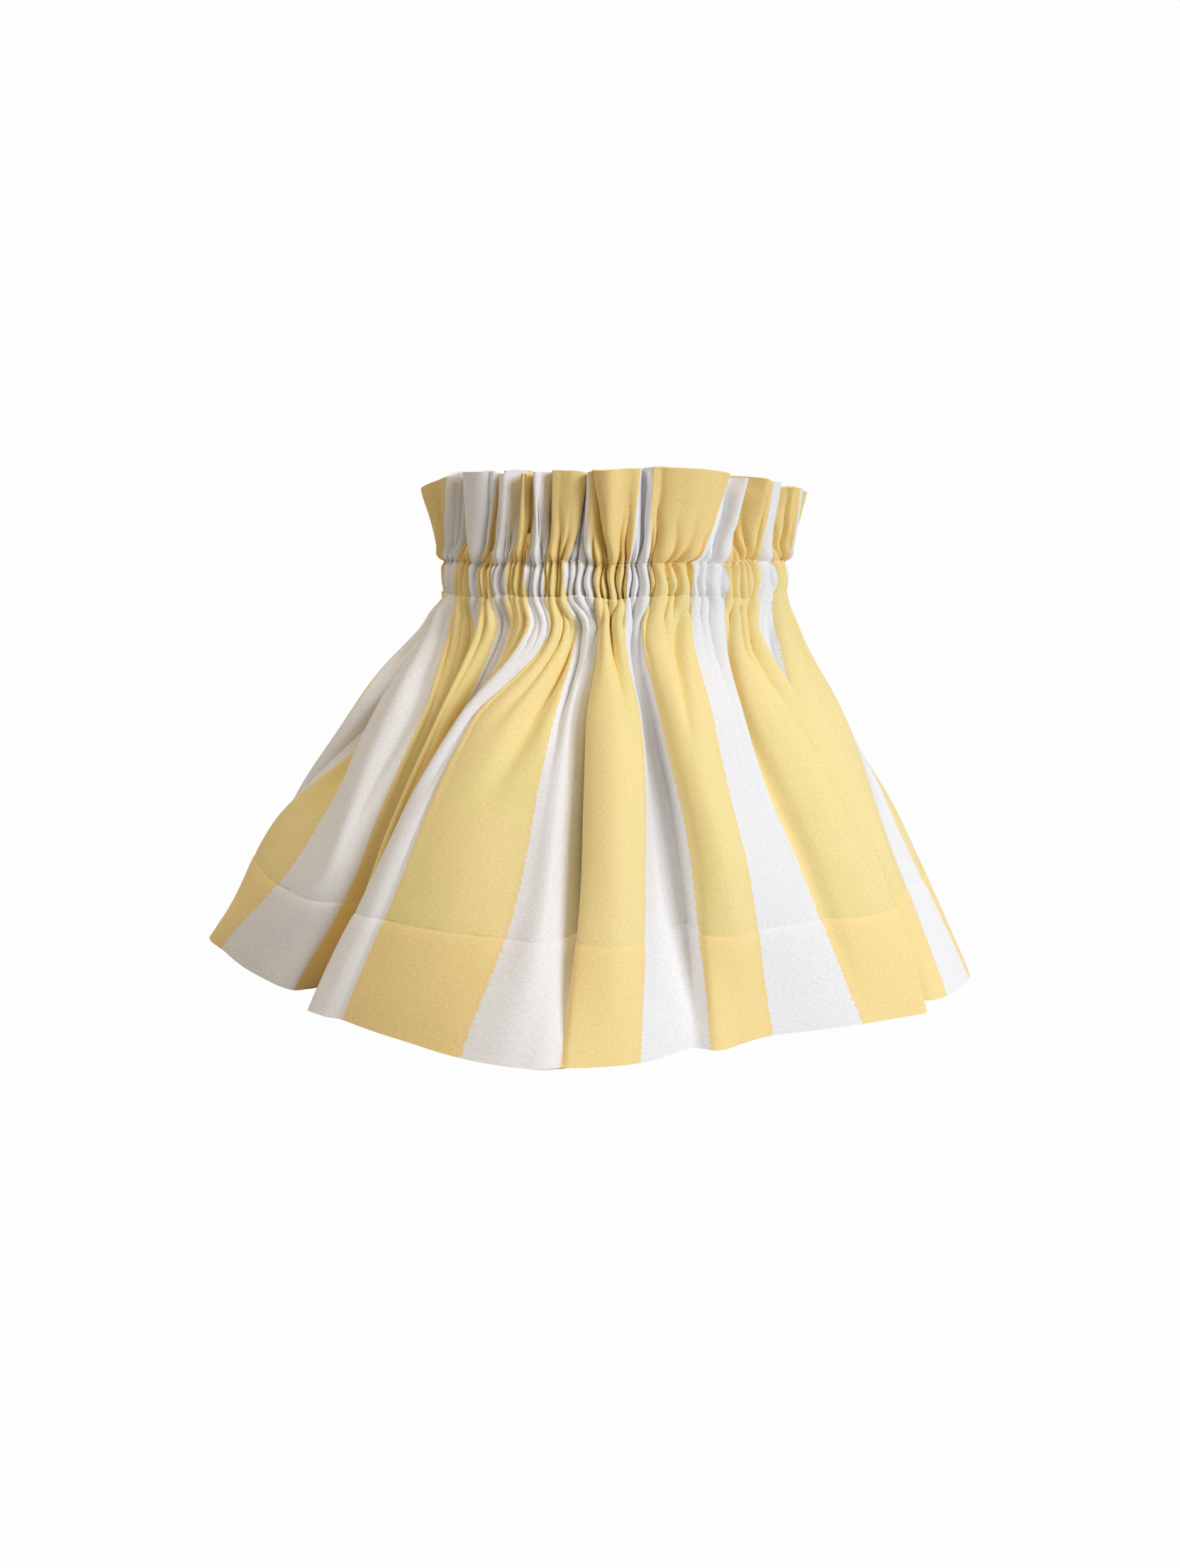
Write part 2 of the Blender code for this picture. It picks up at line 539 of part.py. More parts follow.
def arm_mesh(side, inner, outer, half):
    """A strip bent in from its eye, slanting down to a flat foot at the fitter ring, around the pivot's origin."""
    reach = FITTER_RADIUS + GAP
    foot = reach + ARM_FOOT
    slant = math.atan2(FITTER_DROP - half, outer - foot)
    outline = [
        (outer, half),
        (outer, -half),
        (foot, -FITTER_DROP),
        (reach, -FITTER_DROP),
        (reach, STRIP - FITTER_DROP),
        (foot - STRIP * math.tan(slant / 2), STRIP - FITTER_DROP),
        (inner, STRIP * math.tan((math.pi / 2 - slant) / 2) - half),
        (inner, half),
    ]
    bm = bmesh.new()
    face = bm.faces.new([bm.verts.new((side * x, -half, z)) for x, z in outline])
    made = bmesh.ops.extrude_face_region(bm, geom=[face])
    moved = [item for item in made["geom"] if isinstance(item, bmesh.types.BMVert)]
    bmesh.ops.translate(bm, verts=moved, vec=(0.0, 2 * half, 0.0))
    return bm


def build():
    """The whole shade."""
    for old in list(bpy.data.objects):
        bpy.data.objects.remove(old)
    cotton = material("striped_cotton", (0.89, 0.70, 0.30), 0.9)
    thread = material("cotton_thread", (0.86, 0.80, 0.68), 0.8)
    rubber = material("woven_elastic", (0.85, 0.85, 0.83), 0.7)
    steel = material("white_coated_steel", (0.80, 0.80, 0.78), 0.4)
    axis = add_empty("shade_axis", (AXIS_X, AXIS_Y, 0.0))
    build_cover(axis, cotton, thread, rubber)
    build_frame(axis, steel)
    build_gimbal(axis, steel)


build()
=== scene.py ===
# %% [markdown]
# # A gathered cotton lampshade
# The real shade is one long panel of striped cotton, gathered on an elastic band and slipped over a
# wire frame. This lesson cuts that panel flat, stripes it while it is flat, and then gathers it, which
# is how a sewing room makes one. The wire frame is already there: it comes from the packed model, in
# metres, standing on z = 0.

# %% Load the packed frame
import math
from collections import namedtuple

import bpy
import numpy as np
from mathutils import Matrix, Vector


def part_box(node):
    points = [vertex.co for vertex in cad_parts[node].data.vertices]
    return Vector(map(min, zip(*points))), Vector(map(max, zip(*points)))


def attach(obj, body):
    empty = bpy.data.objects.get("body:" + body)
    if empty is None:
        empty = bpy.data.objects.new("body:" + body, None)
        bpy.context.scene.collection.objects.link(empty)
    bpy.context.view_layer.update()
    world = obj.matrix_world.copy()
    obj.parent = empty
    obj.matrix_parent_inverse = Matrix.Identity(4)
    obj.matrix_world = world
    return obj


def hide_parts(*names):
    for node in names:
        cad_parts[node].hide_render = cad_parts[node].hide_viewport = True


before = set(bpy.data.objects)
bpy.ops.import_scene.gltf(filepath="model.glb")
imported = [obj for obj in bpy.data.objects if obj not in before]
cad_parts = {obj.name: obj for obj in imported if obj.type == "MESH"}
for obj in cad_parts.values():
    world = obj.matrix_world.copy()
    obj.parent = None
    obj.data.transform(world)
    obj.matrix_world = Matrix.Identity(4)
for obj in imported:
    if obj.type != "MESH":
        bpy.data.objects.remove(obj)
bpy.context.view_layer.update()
MM = 0.001

# %% [markdown]
# ## Recipes for looks
# A look in Blender is a network of nodes. A helper that adds nodes by type and wires them by name keeps
# every recipe short enough to read at once.

# %% Node helpers


class Recipe:
    """A look under construction: its nodes are added by type and wired by name."""

    def __init__(self, name, kind=bpy.data.materials):
        self.owner = kind.new(name)
        self.owner.use_nodes = True
        self.nodes, self.links = self.owner.node_tree.nodes, self.owner.node_tree.links

    def add(self, kind, settings=None, **inputs):
        """A node with its settings, whose inputs are numbers or other nodes' outputs."""
        node = self.nodes.new("ShaderNode" + kind)
        for key, value in (settings or {}).items():
            setattr(node, key, value)
        for key, value in inputs.items():
            self.feed(node, key, value)
        return node

    def feed(self, node, key, value):
        """Wire an output into an input, or set its value. The key is a name, or i and a number."""
        numbered = key[0] == "i" and key[1:].isdigit()
        slot = node.inputs[int(key[1:]) if numbered else key.replace("_", " ")]
        if isinstance(value, bpy.types.NodeSocket):
            self.links.new(value, slot)
        else:
            slot.default_value = value

    def math(self, operation, *values):
        """One sum on numbers or outputs."""
        inputs = {f"i{i}": value for i, value in enumerate(values)}
        return self.add("Math", {"operation": operation}, **inputs).outputs[0]

    def spot(self, x, y):
        """A place on a flat map."""
        return self.add("CombineXYZ", i0=x, i1=y).outputs[0]

    def noise(self, place, scale, detail, kind="3D"):
        """Soft noise from 0 to 1, through a solid or, in 2D, over a flat map."""
        settings = {"noise_dimensions": kind}
        return self.add("TexNoise", settings, Vector=place, Scale=scale, Detail=detail).outputs[0]

    def ramp(self, value, low, high):
        """0 below low, 1 above high, and smooth between."""
        settings = {"interpolation_type": "SMOOTHSTEP"}
        return self.add("MapRange", settings, i0=value, i1=low, i2=high).outputs[0]

    def blend(self, share, first, second, how="MIX"):
        """Two colours mixed by a share."""
        settings = {"data_type": "RGBA", "blend_type": how}
        return self.add("Mix", settings, i0=share, i6=first, i7=second).outputs[2]

    def dress(self, base, height, strength, distance, **values):
        """The finished material: its colour, its bumps and the surface's plain numbers."""
        bump = self.add("Bump", Strength=strength, Distance=distance, Height=height)
        for key, value in {"Base_Color": base, "Normal": bump.outputs[0], **values}.items():
            self.feed(self.nodes["Principled BSDF"], key, value)
        return self.owner


print("steps of a recipe:", [step for step in vars(Recipe) if not step.startswith("_")])

# %% Colours from a screen


def colour(red, green, blue):
    """A colour as a screen shows it, from 0 to 255, made linear for the shader."""
    parts = [c / 255.0 for c in (red, green, blue)]
    return tuple(((c + 0.055) / 1.055) ** 2.4 if c > 0.04045 else c / 12.92 for c in parts) + (1.0,)


print("a screen's grey of 128 is", round(colour(128, 128, 128)[0], 3), "linear")

# %% [markdown]
# ## The camera
# The photograph was taken from close by, a little above the casing and tilted down. A near camera makes
# the hem bow towards us, so its distance matters as much as its angle. The lens follows from the
# picture's height in pixels.

# %% Place the camera
PICTURE_HEIGHT_PX = 2212
FOCAL_PX = 1860
CAMERA_PLACE = (0.0015, -0.4357, 0.1268)
CAMERA_TILT_DOWN = 10.0
SENSOR_MM = 36.0
NEAREST_SEEN = 0.01

tilt = math.radians(90.0 - CAMERA_TILT_DOWN)
bpy.ops.object.camera_add(location=CAMERA_PLACE, rotation=(tilt, 0.0, 0.0))
camera = bpy.context.object
camera.name = "photo_camera"
camera.data.sensor_width = SENSOR_MM
camera.data.lens = SENSOR_MM * FOCAL_PX / PICTURE_HEIGHT_PX
camera.data.clip_start = NEAREST_SEEN
bpy.context.scene.camera = camera
print("camera lens:", round(camera.data.lens, 2), "mm")

# %% [markdown]
# ## The studio
# A plain white sweep stands behind the shade and under it. Making the sweep one curved sheet, rather
# than a floor and a wall, hides the corner. It glows to the camera and in reflections alone, so it
# reads as white paper, and a small share of its lit surface keeps a trace of the shade's soft shadow.

# %% White paper
PAPER_GLOW = 0.975
PAPER_GREY = (0.5, 0.5, 0.5, 1.0)


def white_paper():
    """Paper that glows to the camera, with a little of its lit surface, and is dull to other rays."""
    r = Recipe("white_paper")
    r.nodes.clear()
    seen = r.add("LightPath").outputs
    direct = r.math("MAXIMUM", seen["Is Camera Ray"], seen["Is Glossy Ray"])
    share = r.math("MULTIPLY", direct, PAPER_GLOW)
    lit, glow = r.add("BsdfDiffuse", Color=PAPER_GREY), r.add("Emission")
    mix = r.add("MixShader", i0=share, i1=lit.outputs[0], i2=glow.outputs[0])
    r.add("OutputMaterial", Surface=mix.outputs[0])
    return r.owner


paper = white_paper()
print("paper glow:", PAPER_GLOW)

# %% Paper sweep
SWEEP_HALF_WIDTH = 3.0
SWEEP_FRONT = -1.6
SWEEP_BACK = 1.4
SWEEP_HEIGHT = 2.6
SWEEP_CURVE = 0.8
SWEEP_STEPS = 16
SELECT_REACH = 0.01

bpy.ops.mesh.primitive_plane_add(size=1.0, location=(0.0, (SWEEP_FRONT + SWEEP_BACK) / 2, 0.0))
sweep = bpy.context.object
sweep.name = "paper_sweep"
sweep.scale = (2 * SWEEP_HALF_WIDTH, SWEEP_BACK - SWEEP_FRONT, 1.0)
bpy.ops.object.transform_apply(location=True, scale=True)
bpy.ops.object.mode_set(mode="EDIT")
bpy.ops.mesh.select_mode(type="EDGE")
bpy.ops.mesh.select_all(action="DESELECT")
bpy.ops.object.mode_set(mode="OBJECT")
for edge in sweep.data.edges:
    edge.select = all(sweep.data.vertices[v].co.y > SWEEP_BACK - SELECT_REACH for v in edge.vertices)
bpy.ops.object.mode_set(mode="EDIT")
bpy.ops.mesh.extrude_region_move(TRANSFORM_OT_translate={"value": (0.0, 0.0, SWEEP_HEIGHT)})
bpy.ops.object.mode_set(mode="OBJECT")
bend = sweep.modifiers.new("sweep_curve", "BEVEL")
bend.width = SWEEP_CURVE
bend.segments = SWEEP_STEPS
bpy.ops.object.modifier_apply(modifier=bend.name)
bpy.ops.object.shade_smooth()
sweep.data.materials.append(paper)
print("sweep faces:", len(sweep.data.polygons))

# %% [markdown]
# ## The light
# A soft lamp stands low to the right, like the window of the photograph, and a weaker one hangs high on
# the left. The skirt slopes, so it takes light from both. The frill and the casing stand upright, so
# their left side takes little of either, which is what turns it grey. A third lamp behind keeps the
# back from going dull. Window light is a little blue and light from a room is warm, so lit white cloth
# looks cold and shaded white cloth looks like cream.

# %% Lamps
Lamp = namedtuple("Lamp", "name place size watts tint")
LAMPS = [
    Lamp("window_lamp", (1.25, -1.25, 0.72), 0.9, 22.2, (0.94, 1.0, 1.09)),
    Lamp("fill_lamp", (-0.75, -0.45, 1.75), 1.3, 14.4, (1.08, 0.98, 0.85)),
    Lamp("back_lamp", (0.70, 1.10, 1.45), 1.2, 12.5, (0.95, 1.0, 1.07)),
]
TARGET = (0.0, 0.0, 0.07)


def add_lamp(lamp):
    """A square soft lamp that faces the shade."""
    bpy.ops.object.light_add(type="AREA", location=lamp.place)
    made = bpy.context.object
    made.name = lamp.name
    made.data.size = lamp.size
    made.data.energy = lamp.watts
    made.data.color = lamp.tint
    away = [p - t for p, t in zip(lamp.place, TARGET)]
    level = math.hypot(away[0], away[1])
    made.rotation_euler = (math.atan2(level, away[2]), 0.0, math.atan2(away[0], -away[1]))
    return made


lamps = [add_lamp(lamp) for lamp in LAMPS]
print("lamps:", [lamp.name for lamp in lamps])

# %% Sky
SKY = (0.195, 0.154, 0.104)

sky = Recipe("studio_sky", bpy.data.worlds)
sky.nodes.clear()
sky_seen = sky.add("LightPath").outputs["Is Camera Ray"]
sky_light = sky.add("Background", Color=(*SKY, 1.0))
sky_white = sky.add("Background", Color=(1.0, 1.0, 1.0, 1.0))
sky_mix = sky.add("MixShader", i0=sky_seen, i1=sky_light.outputs[0], i2=sky_white.outputs[0])
sky.add("OutputWorld", Surface=sky_mix.outputs[0])
bpy.context.scene.world = sky.owner
bpy.context.scene.view_settings.view_transform = "Standard"
print("sky:", SKY)

# %% [markdown]
# ## The striped cotton
# The stripes are woven, so they belong to the flat cloth and must follow it through every fold. A UV
# map that holds the flat panel's own metres does that: across the panel is the first number and up it
# is the second. The edges of woven stripes are ragged, one weft thread at a time, and the yellow
# deepens to peach there.

# %% Sizes of the flat panel
YELLOW_STRIPE = 0.040
WHITE_STRIPE = 0.028
REPEAT = YELLOW_STRIPE + WHITE_STRIPE
STRIPES = 32
PANEL_WIDTH = REPEAT * STRIPES / 2
FIRST_STRIPE = -5
FLAT_MAP = "flat_panel"
SKIRT_DROP = 0.132
HEM_TURN = 0.031
CASING_DROP = 0.010
FRILL_RISE = 0.026
HEM_STITCH_FALL = 0.765  # the hem's stitches, as a share of the way down the skirt
CASING_UP = HEM_TURN + SKIRT_DROP * HEM_STITCH_FALL


def stripe_at(across):
    """Stripe edges counted to a place across the flat panel. Even stripes are yellow, odd ones white."""
    repeat, rest = np.divmod(across, REPEAT)
    in_white = 1.0 + (rest - YELLOW_STRIPE) / WHITE_STRIPE
    return 2.0 * repeat + np.where(rest < YELLOW_STRIPE, rest / YELLOW_STRIPE, in_white)


def across_at(stripe):
    """The place across the flat panel where so many stripe edges have been passed."""
    repeat, within = np.divmod(stripe, 2.0)
    in_white = YELLOW_STRIPE + (within - 1.0) * WHITE_STRIPE
    return repeat * REPEAT + np.where(within < 1.0, within * YELLOW_STRIPE, in_white)


PANEL_START = float(across_at(FIRST_STRIPE))
print("panel:", round(PANEL_WIDTH, 3), "m wide, from", round(PANEL_START, 3))

# %% Threads and stripe edges
WEFT = 0.0005
STREAKS = 700.0  # in each metre of a thread
WEFT_SHARE = 0.68
RAGGED = 0.0006
RAGGED_RUNS = 60.0
RAGGED_SCALE = 1.7
WANDER = 0.0012
WANDER_SCALE = 25.0
STRIPE_EDGE = (-0.0002, 0.0004)
FRINGE = 0.0026


def woven_threads(r, across, up):
    """Fine threads both ways, stronger along the weft, from 0 to 1."""
    weft_spot = r.spot(r.math("MULTIPLY", across, STREAKS), r.math("DIVIDE", up, WEFT))
    warp_spot = r.spot(r.math("DIVIDE", across, WEFT), r.math("MULTIPLY", up, STREAKS))
    weft = r.math("MULTIPLY", r.noise(weft_spot, 1.0, 2.0, "2D"), WEFT_SHARE)
    warp = r.math("MULTIPLY", r.noise(warp_spot, 1.0, 2.0, "2D"), 1.0 - WEFT_SHARE)
    return r.math("ADD", weft, warp)


def ragged_stripes(r, flat, across, up):
    """How yellow the cloth is, and how near a stripe's edge, with edges that step from weft to weft."""
    weft = r.math("FLOOR", r.math("DIVIDE", up, WEFT))
    step = r.noise(r.spot(weft, r.math("MULTIPLY", across, RAGGED_RUNS)), RAGGED_SCALE, 0.0, "2D")
    shift = r.math("MULTIPLY", r.math("SUBTRACT", step, 0.5), 2.0 * RAGGED)
    slow = r.noise(flat, WANDER_SCALE, 1.0, "2D")
    drift = r.math("MULTIPLY", r.math("SUBTRACT", slow, 0.5), WANDER)
    moved = r.math("ADD", r.math("ADD", across, shift), drift)
    within = r.math("MULTIPLY", r.math("FRACT", r.math("DIVIDE", moved, REPEAT)), REPEAT)
    depth = r.math("MINIMUM", within, r.math("SUBTRACT", YELLOW_STRIPE, within))
    is_yellow = r.ramp(depth, *STRIPE_EDGE)
    near_edge = r.math("SUBTRACT", 1.0, r.ramp(depth, 0.0, FRINGE))
    return is_yellow, near_edge


print("threads in a centimetre:", round(0.01 / WEFT))

# %% Striped cotton
YELLOW = colour(250, 229, 163)
YELLOW_HEM = colour(252, 227, 159)
# painted shade: a darker, deeper yellow for the upright two-layer frill, which takes less light and lets
# less through
FRILL_SHADE_YELLOW = colour(248, 220, 148)
YELLOW_GREEN = colour(245, 228, 158)
WHITE = colour(243, 243, 245)
PEACH = colour(252, 214, 160)
PEACH_SHARE = 0.45
PATCH_SCALE = 22.0
GREEN_FROM, GREEN_FULL = 0.42, 0.72
HEM_BLUR = 0.0004
THREAD_LOW, THREAD_HIGH = 0.3, 0.7
THREAD_DARK, THREAD_LIGHT = 0.93, 1.04


def striped_cotton():
    """Brushed cotton in yellow and off-white stripes, coloured and woven on the flat panel's metres."""
    r = Recipe("striped_cotton")
    flat = r.add("UVMap", {"uv_map": FLAT_MAP}).outputs[0]
    place = r.add("SeparateXYZ", i0=flat)
    across, up = place.outputs[0], place.outputs[1]
    is_yellow, near_edge = ragged_stripes(r, flat, across, up)

    patches = r.noise(flat, PATCH_SCALE, 3.0, "2D")
    yellow = r.blend(r.ramp(patches, GREEN_FROM, GREEN_FULL), YELLOW, YELLOW_GREEN)
    in_hem = r.ramp(up, HEM_TURN + HEM_BLUR, HEM_TURN - HEM_BLUR)
    yellow = r.blend(in_hem, yellow, YELLOW_HEM)
    # Painted shade: from the middle of the casing up, the yellow turns darker and deeper for the shade
    # on the upright frill and its two layers.
    frill_shade = r.ramp(up, CASING_UP + CASING_DROP / 2, CASING_UP + CASING_DROP)
    yellow = r.blend(frill_shade, yellow, FRILL_SHADE_YELLOW)
    yellow = r.blend(r.math("MULTIPLY", near_edge, PEACH_SHARE), yellow, PEACH)
    cloth = r.blend(is_yellow, WHITE, yellow)

    threads = woven_threads(r, across, up)
    shade = r.add("MapRange", i0=threads, i1=THREAD_LOW, i2=THREAD_HIGH, i3=THREAD_DARK, i4=THREAD_LIGHT)
    grey = r.add("CombineColor", i0=shade.outputs[0], i1=shade.outputs[0], i2=shade.outputs[0])
    woven = r.blend(1.0, cloth, grey.outputs[0], "MULTIPLY")
    brushed = {"Roughness": 0.92, "Specular IOR Level": 0.2, "Sheen Weight": 0.1, "Sheen Roughness": 0.5}
    return r.dress(woven, threads, strength=0.45, distance=0.0003, **brushed)


cotton = striped_cotton()
print("cotton nodes:", len(cotton.node_tree.nodes))

# %% [markdown]
# ## How the cloth folds
# The folds of the front are read from the photograph as fold lines. Each one is a thread of the cloth
# that runs from the gathers to the hem along a crest, a valley or a stripe's edge. It has an angle
# round the frame and a distance out from it, in degrees and millimetres, at three levels of its fall.
# Between the lines the cloth curves smoothly. The packed model's plain solids follow nearly the same
# lines, so the cloth lies where they do.

# %% Fold lines of the skirt
FOLD_LEVELS = np.array([0.0, 0.3, 0.65, 1.0])
FoldLine = namedtuple("FoldLine", "stripe waist upper upper_out lower lower_out hem hem_out")
FRONT_FOLDS = [FoldLine(*line) for line in [
    (-0.6, -111, -111, 15, -116, 28, -125, 35),
    (0.25, -100.5, -92, 5, -102, 10, -113, 14),
    (0.75, -96.5, -83, 19, -94.5, 29, -109.5, 34),
    (1.0, -94, -76.5, 19, -90, 32, -106, 38),
    (2.0, -86, -72, 6, -82.5, 33.5, -96, 42),
    (2.55, -81, -70.5, 1.5, -74, 28, -86, 43),
    (3.1, -76, -69.5, 15, -59, 26.5, -77, 35.5),
    (3.5, -70, -58, 17, -51.5, 27, -66, 29),
    (4.0, -63, -49.2, 12, -48.5, 20.5, -55.5, 23),
    (5.2, -53, -47.4, 1.5, -47.3, 3.5, -54.3, 7),
    (6.4, -45.5, -42.7, 12.5, -44.3, 19.5, -51, 17),
    (7.6, -38.5, -39.5, 2, -42.6, 4.5, -47.6, 7),
    (8.6, -31.5, -37.3, 10, -42, 17, -46.2, 18),
    (9.1, -28, -34.4, 14.5, -41.2, 24, -45.5, 28),
    (9.5, -25.5, -33.3, 12, -38.5, 25.5, -42.8, 27.5),
    (10.0, -22.6, -32.1, 15, -35.2, 24.5, -39.6, 26),
    (10.5, -19.3, -23.5, 14, -25.6, 24.5, -28.5, 28.5),
    (11.0, -15.9, -14.5, 11, -15.3, 22.5, -18.8, 33.5),
    (11.35, -13, -11, 11, -11, 24, -13, 35.5),
    (11.6, -11, -8.8, 6, -8.4, 18, -9.5, 36),
    (12.0, -7.4, -6.9, 0, -6.3, 9, -7, 34.5),
    (12.25, -5, -6.3, 11.5, -5.8, 23.5, -6, 34),
    (12.55, -2, -1, 15.5, -1.2, 27.5, -2.5, 32.5),
    (12.95, 2.2, 4, 12, 3, 23, 1.7, 30),
    (13.3, 4.5, 6, 4, 6.4, 11, 4.5, 27),
    (13.75, 8, 9.4, -0.5, 12.2, 5, 9.5, 21),
    (14.1, 10.5, 9.6, 11, 12.8, 20, 12.5, 24),
    (14.45, 15.5, 13.8, 16, 16.2, 24, 16.4, 20.5),
    (15.0, 23.4, 19.8, 13.5, 20.7, 20.5, 21.5, 18),
    (15.75, 33, 27.5, 13, 29.3, 19.5, 31.5, 21),
    (16.05, 36.8, 30, 6.5, 32.7, 17, 35.5, 23),
    (16.3, 40.5, 33, 11.5, 35.5, 21.5, 38, 24),
    (16.6, 45, 39.5, 14.5, 41, 24, 41.5, 26),
    (16.9, 50, 45.8, 14, 47.7, 24, 45, 28.5),
    (17.5, 57.5, 49.5, 0.5, 49, 5, 46.8, 12),
    (18.2, 67, 55, 7, 52, 15, 48.6, 21),
    (18.6, 73, 64, 10, 56.5, 18, 50.6, 25),
    (19.1, 82.5, 80, 9, 64.5, 14.5, 54, 26.5),
    (20.0, 93.5, 91, 7, 69.5, 17, 61.8, 27),
    (20.5, 99, 97, 5, 80, 17, 75, 21),
    (21.0, 105, 103, 4, 91, 15.5, 88, 19.5),
    (21.7, 114, 111, -1, 101, 4, 99, 9),
    (22.6, 124, 119, 9, 112, 22, 110, 31.1),
]]
BACK_FOLDS = 5
BACK_CREST = (13.0, 26.0, 34.5)
BACK_VALLEY = (1.0, 4.0, 8.0)
print("front fold lines:", len(FRONT_FOLDS))

# %% Kinks under the gathers
# A little below the stitch row each line leans by some degrees, and a crest already stands out by a
# share of its depth. Both are given as pairs of stripe and value.
KINK_FALL = 0.075
KINKS = [
    (0.0, 0.0), (3.0, 0.0), (4.0, 1.5), (6.4, 2.2), (8.0, 2.6), (9.5, 3.4), (10.5, 2.0), (11.5, 4.5),
    (12.2, 2.0), (12.6, -1.5), (13.4, -1.0), (14.3, -3.0), (15.2, -1.0), (16.3, -2.0), (17.0, -3.5),
    (17.6, -1.5), (20.0, 0.0),
]
SHOULDERS = [(3.0, 0.2), (9.0, 0.17), (10.0, 0.06), (16.5, 0.06), (17.5, 0.1), (19.5, 0.2)]
SHALLOW = 6.0
SHOULDER_VALLEY = -2.6
EASE_FALL = 0.09


def by_stripe(pairs, stripe):
    """A value between those given as pairs of stripe and value, closed round the cloth."""
    stripes, values = zip(*pairs)
    return np.interp(stripe, stripes, values, period=STRIPES)


print("kinks up to", max(degrees for _, degrees in KINKS), "degrees")

# %% Fold lines of the frill
FrillLine = namedtuple("FrillLine", "stripe top top_out")
FRONT_FRILL = [FrillLine(*line) for line in [
    (1.05, -103, 6.5), (1.6, -94, -3.5), (2.1, -85, 7.5), (2.9, -55, 7.5),
    (3.6, -51.8, 2.5), (4.5, -50.8, -5.5), (5.1, -49.3, 5.5), (5.45, -43, 7),
    (5.9, -36.6, 5.5), (6.5, -35.8, -5.5), (7.15, -35, 5), (7.6, -32, 6),
    (8.1, -29.4, -2.5), (8.5, -26.3, 6.5), (8.95, -24.8, 0.5), (9.4, -22.3, 7),
    (10.0, -19.4, -2.5), (10.35, -18, 5.5), (10.65, -12.5, 6), (10.95, -8.9, 1.5),
    (11.5, -8.3, -2.5), (12.05, -7.8, 8.5), (12.4, -2.5, 11.5), (12.65, 0.6, 8),
    (12.95, 5.2, 7.2), (13.5, 7.2, 0.5), (14.05, 9.1, 7.5), (14.45, 20, 9),
    (14.9, 32.5, 5), (15.2, 34.5, 0.5), (15.65, 38, 6.5), (16.3, 42, -5),
    (16.85, 45, 8), (17.4, 52, 7), (18.1, 57.5, -5), (18.7, 61, 7),
    (19.2, 67, 7.5), (19.8, 74, -4.5), (20.4, 82, 7),
]]
BACK_FRILLS = 11
BACK_FRILL_CREST = (6.5,)
BACK_FRILL_VALLEY = (-5.0,)
VALLEY_GAIN = 1.5
FRILL_OPENING = 0.75  # under 1, the frill opens soon after the gathers
FRILL_FANNING = 0.6
SAGS_MM = [
    (1.0, 3.0), (2.1, 2.6), (2.9, 1.4), (5.0, 0.6), (8.5, 0.8), (12.4, 0.0), (14.5, 0.2), (15.6, 1.0),
    (17.4, 2.0), (18.7, 4.0), (20.4, 3.5),
]
print("front frill lines:", len(FRONT_FRILL))

# %% Smooth curves between the lines
LINE_LEVELS = np.concatenate(([-KINK_FALL, 0.0, KINK_FALL], FOLD_LEVELS[1:]))


def smooth(places, values, at):
    """Values at some places, joined by a curve that never overshoots a crest or a valley."""
    step = np.diff(places)
    slope = np.diff(values) / step
    turn = np.zeros(len(values))
    turn[0], turn[-1] = slope[0], slope[-1]
    same_way = slope[:-1] * slope[1:] > 0.0
    before, after = 2.0 * step[1:] + step[:-1], step[1:] + 2.0 * step[:-1]
    left = np.where(same_way, slope[:-1], 1.0)
    right = np.where(same_way, slope[1:], 1.0)
    turn[1:-1] = np.where(same_way, (before + after) / (before / left + after / right), 0.0)
    i = np.clip(np.searchsorted(places, at, side="right") - 1, 0, len(step) - 1)
    s = (at - places[i]) / step[i]
    rise = values[i] * (1 + 2 * s) * (1 - s) ** 2 + values[i + 1] * s**2 * (3 - 2 * s)
    return rise + step[i] * (turn[i] * s * (1 - s) ** 2 - turn[i + 1] * s**2 * (1 - s))


def around(stripes, values, turn, at):
    """The same curve, closed once round the cloth, with so much more for each lap."""
    laps = np.floor((at - stripes[0]) / STRIPES)
    s = np.concatenate(([stripes[-1] - STRIPES], stripes, [stripes[0] + STRIPES, stripes[1] + STRIPES]))
    v = np.concatenate(([values[-1] - turn], values, [values[0] + turn, values[1] + turn]))
    return smooth(s, v, at - laps * STRIPES) + laps * turn


def down(values, falls):
    """Each fold line's values, joined smoothly from the gathers, where it hangs straight, to the hem."""
    return np.array([smooth(LINE_LEVELS, np.insert(v, 0, v[1]), np.asarray(falls)) for v in values])


print("levels down a fold line:", LINE_LEVELS)

# %% Folds of the unseen back
# A loop rounds each crest and valley with a line on either side of it. The two lines stand off by shares
# of half a wave, in cloth and in angle, and lie back by some millimetres.
Loop = namedtuple("Loop", "cloth angle drop")
NO_LOOP = Loop(0.0, 0.0, 0.0)
FRILL_LOOP = Loop(0.2, 0.36, 1.4)
FRILL_STRAY = 0.2
STRAY_STEP = 2.7  # radians from one fold to the next, so that no two stray alike


def alternate(first, last, pairs, valley, crest, stray, loop):
    """Lines that share out the cloth and the angles between two lines, valley and crest in turn."""
    lines = []
    for i in range(2 * pairs - 1):
        middle = i + 1 + stray * math.sin(STRAY_STEP * i)
        outs, way = (valley, -1.0) if i % 2 == 0 else (crest, 1.0)
        for side in (-1, 0, 1) if loop.cloth else (0,):
            shares = np.full(len(first), middle + side * loop.angle)
            shares[0] = middle + side * loop.cloth
            between = first + shares / (2 * pairs) * (last - first)
            lines.append((between, [out - way * abs(side) * loop.drop for out in outs]))
    return lines


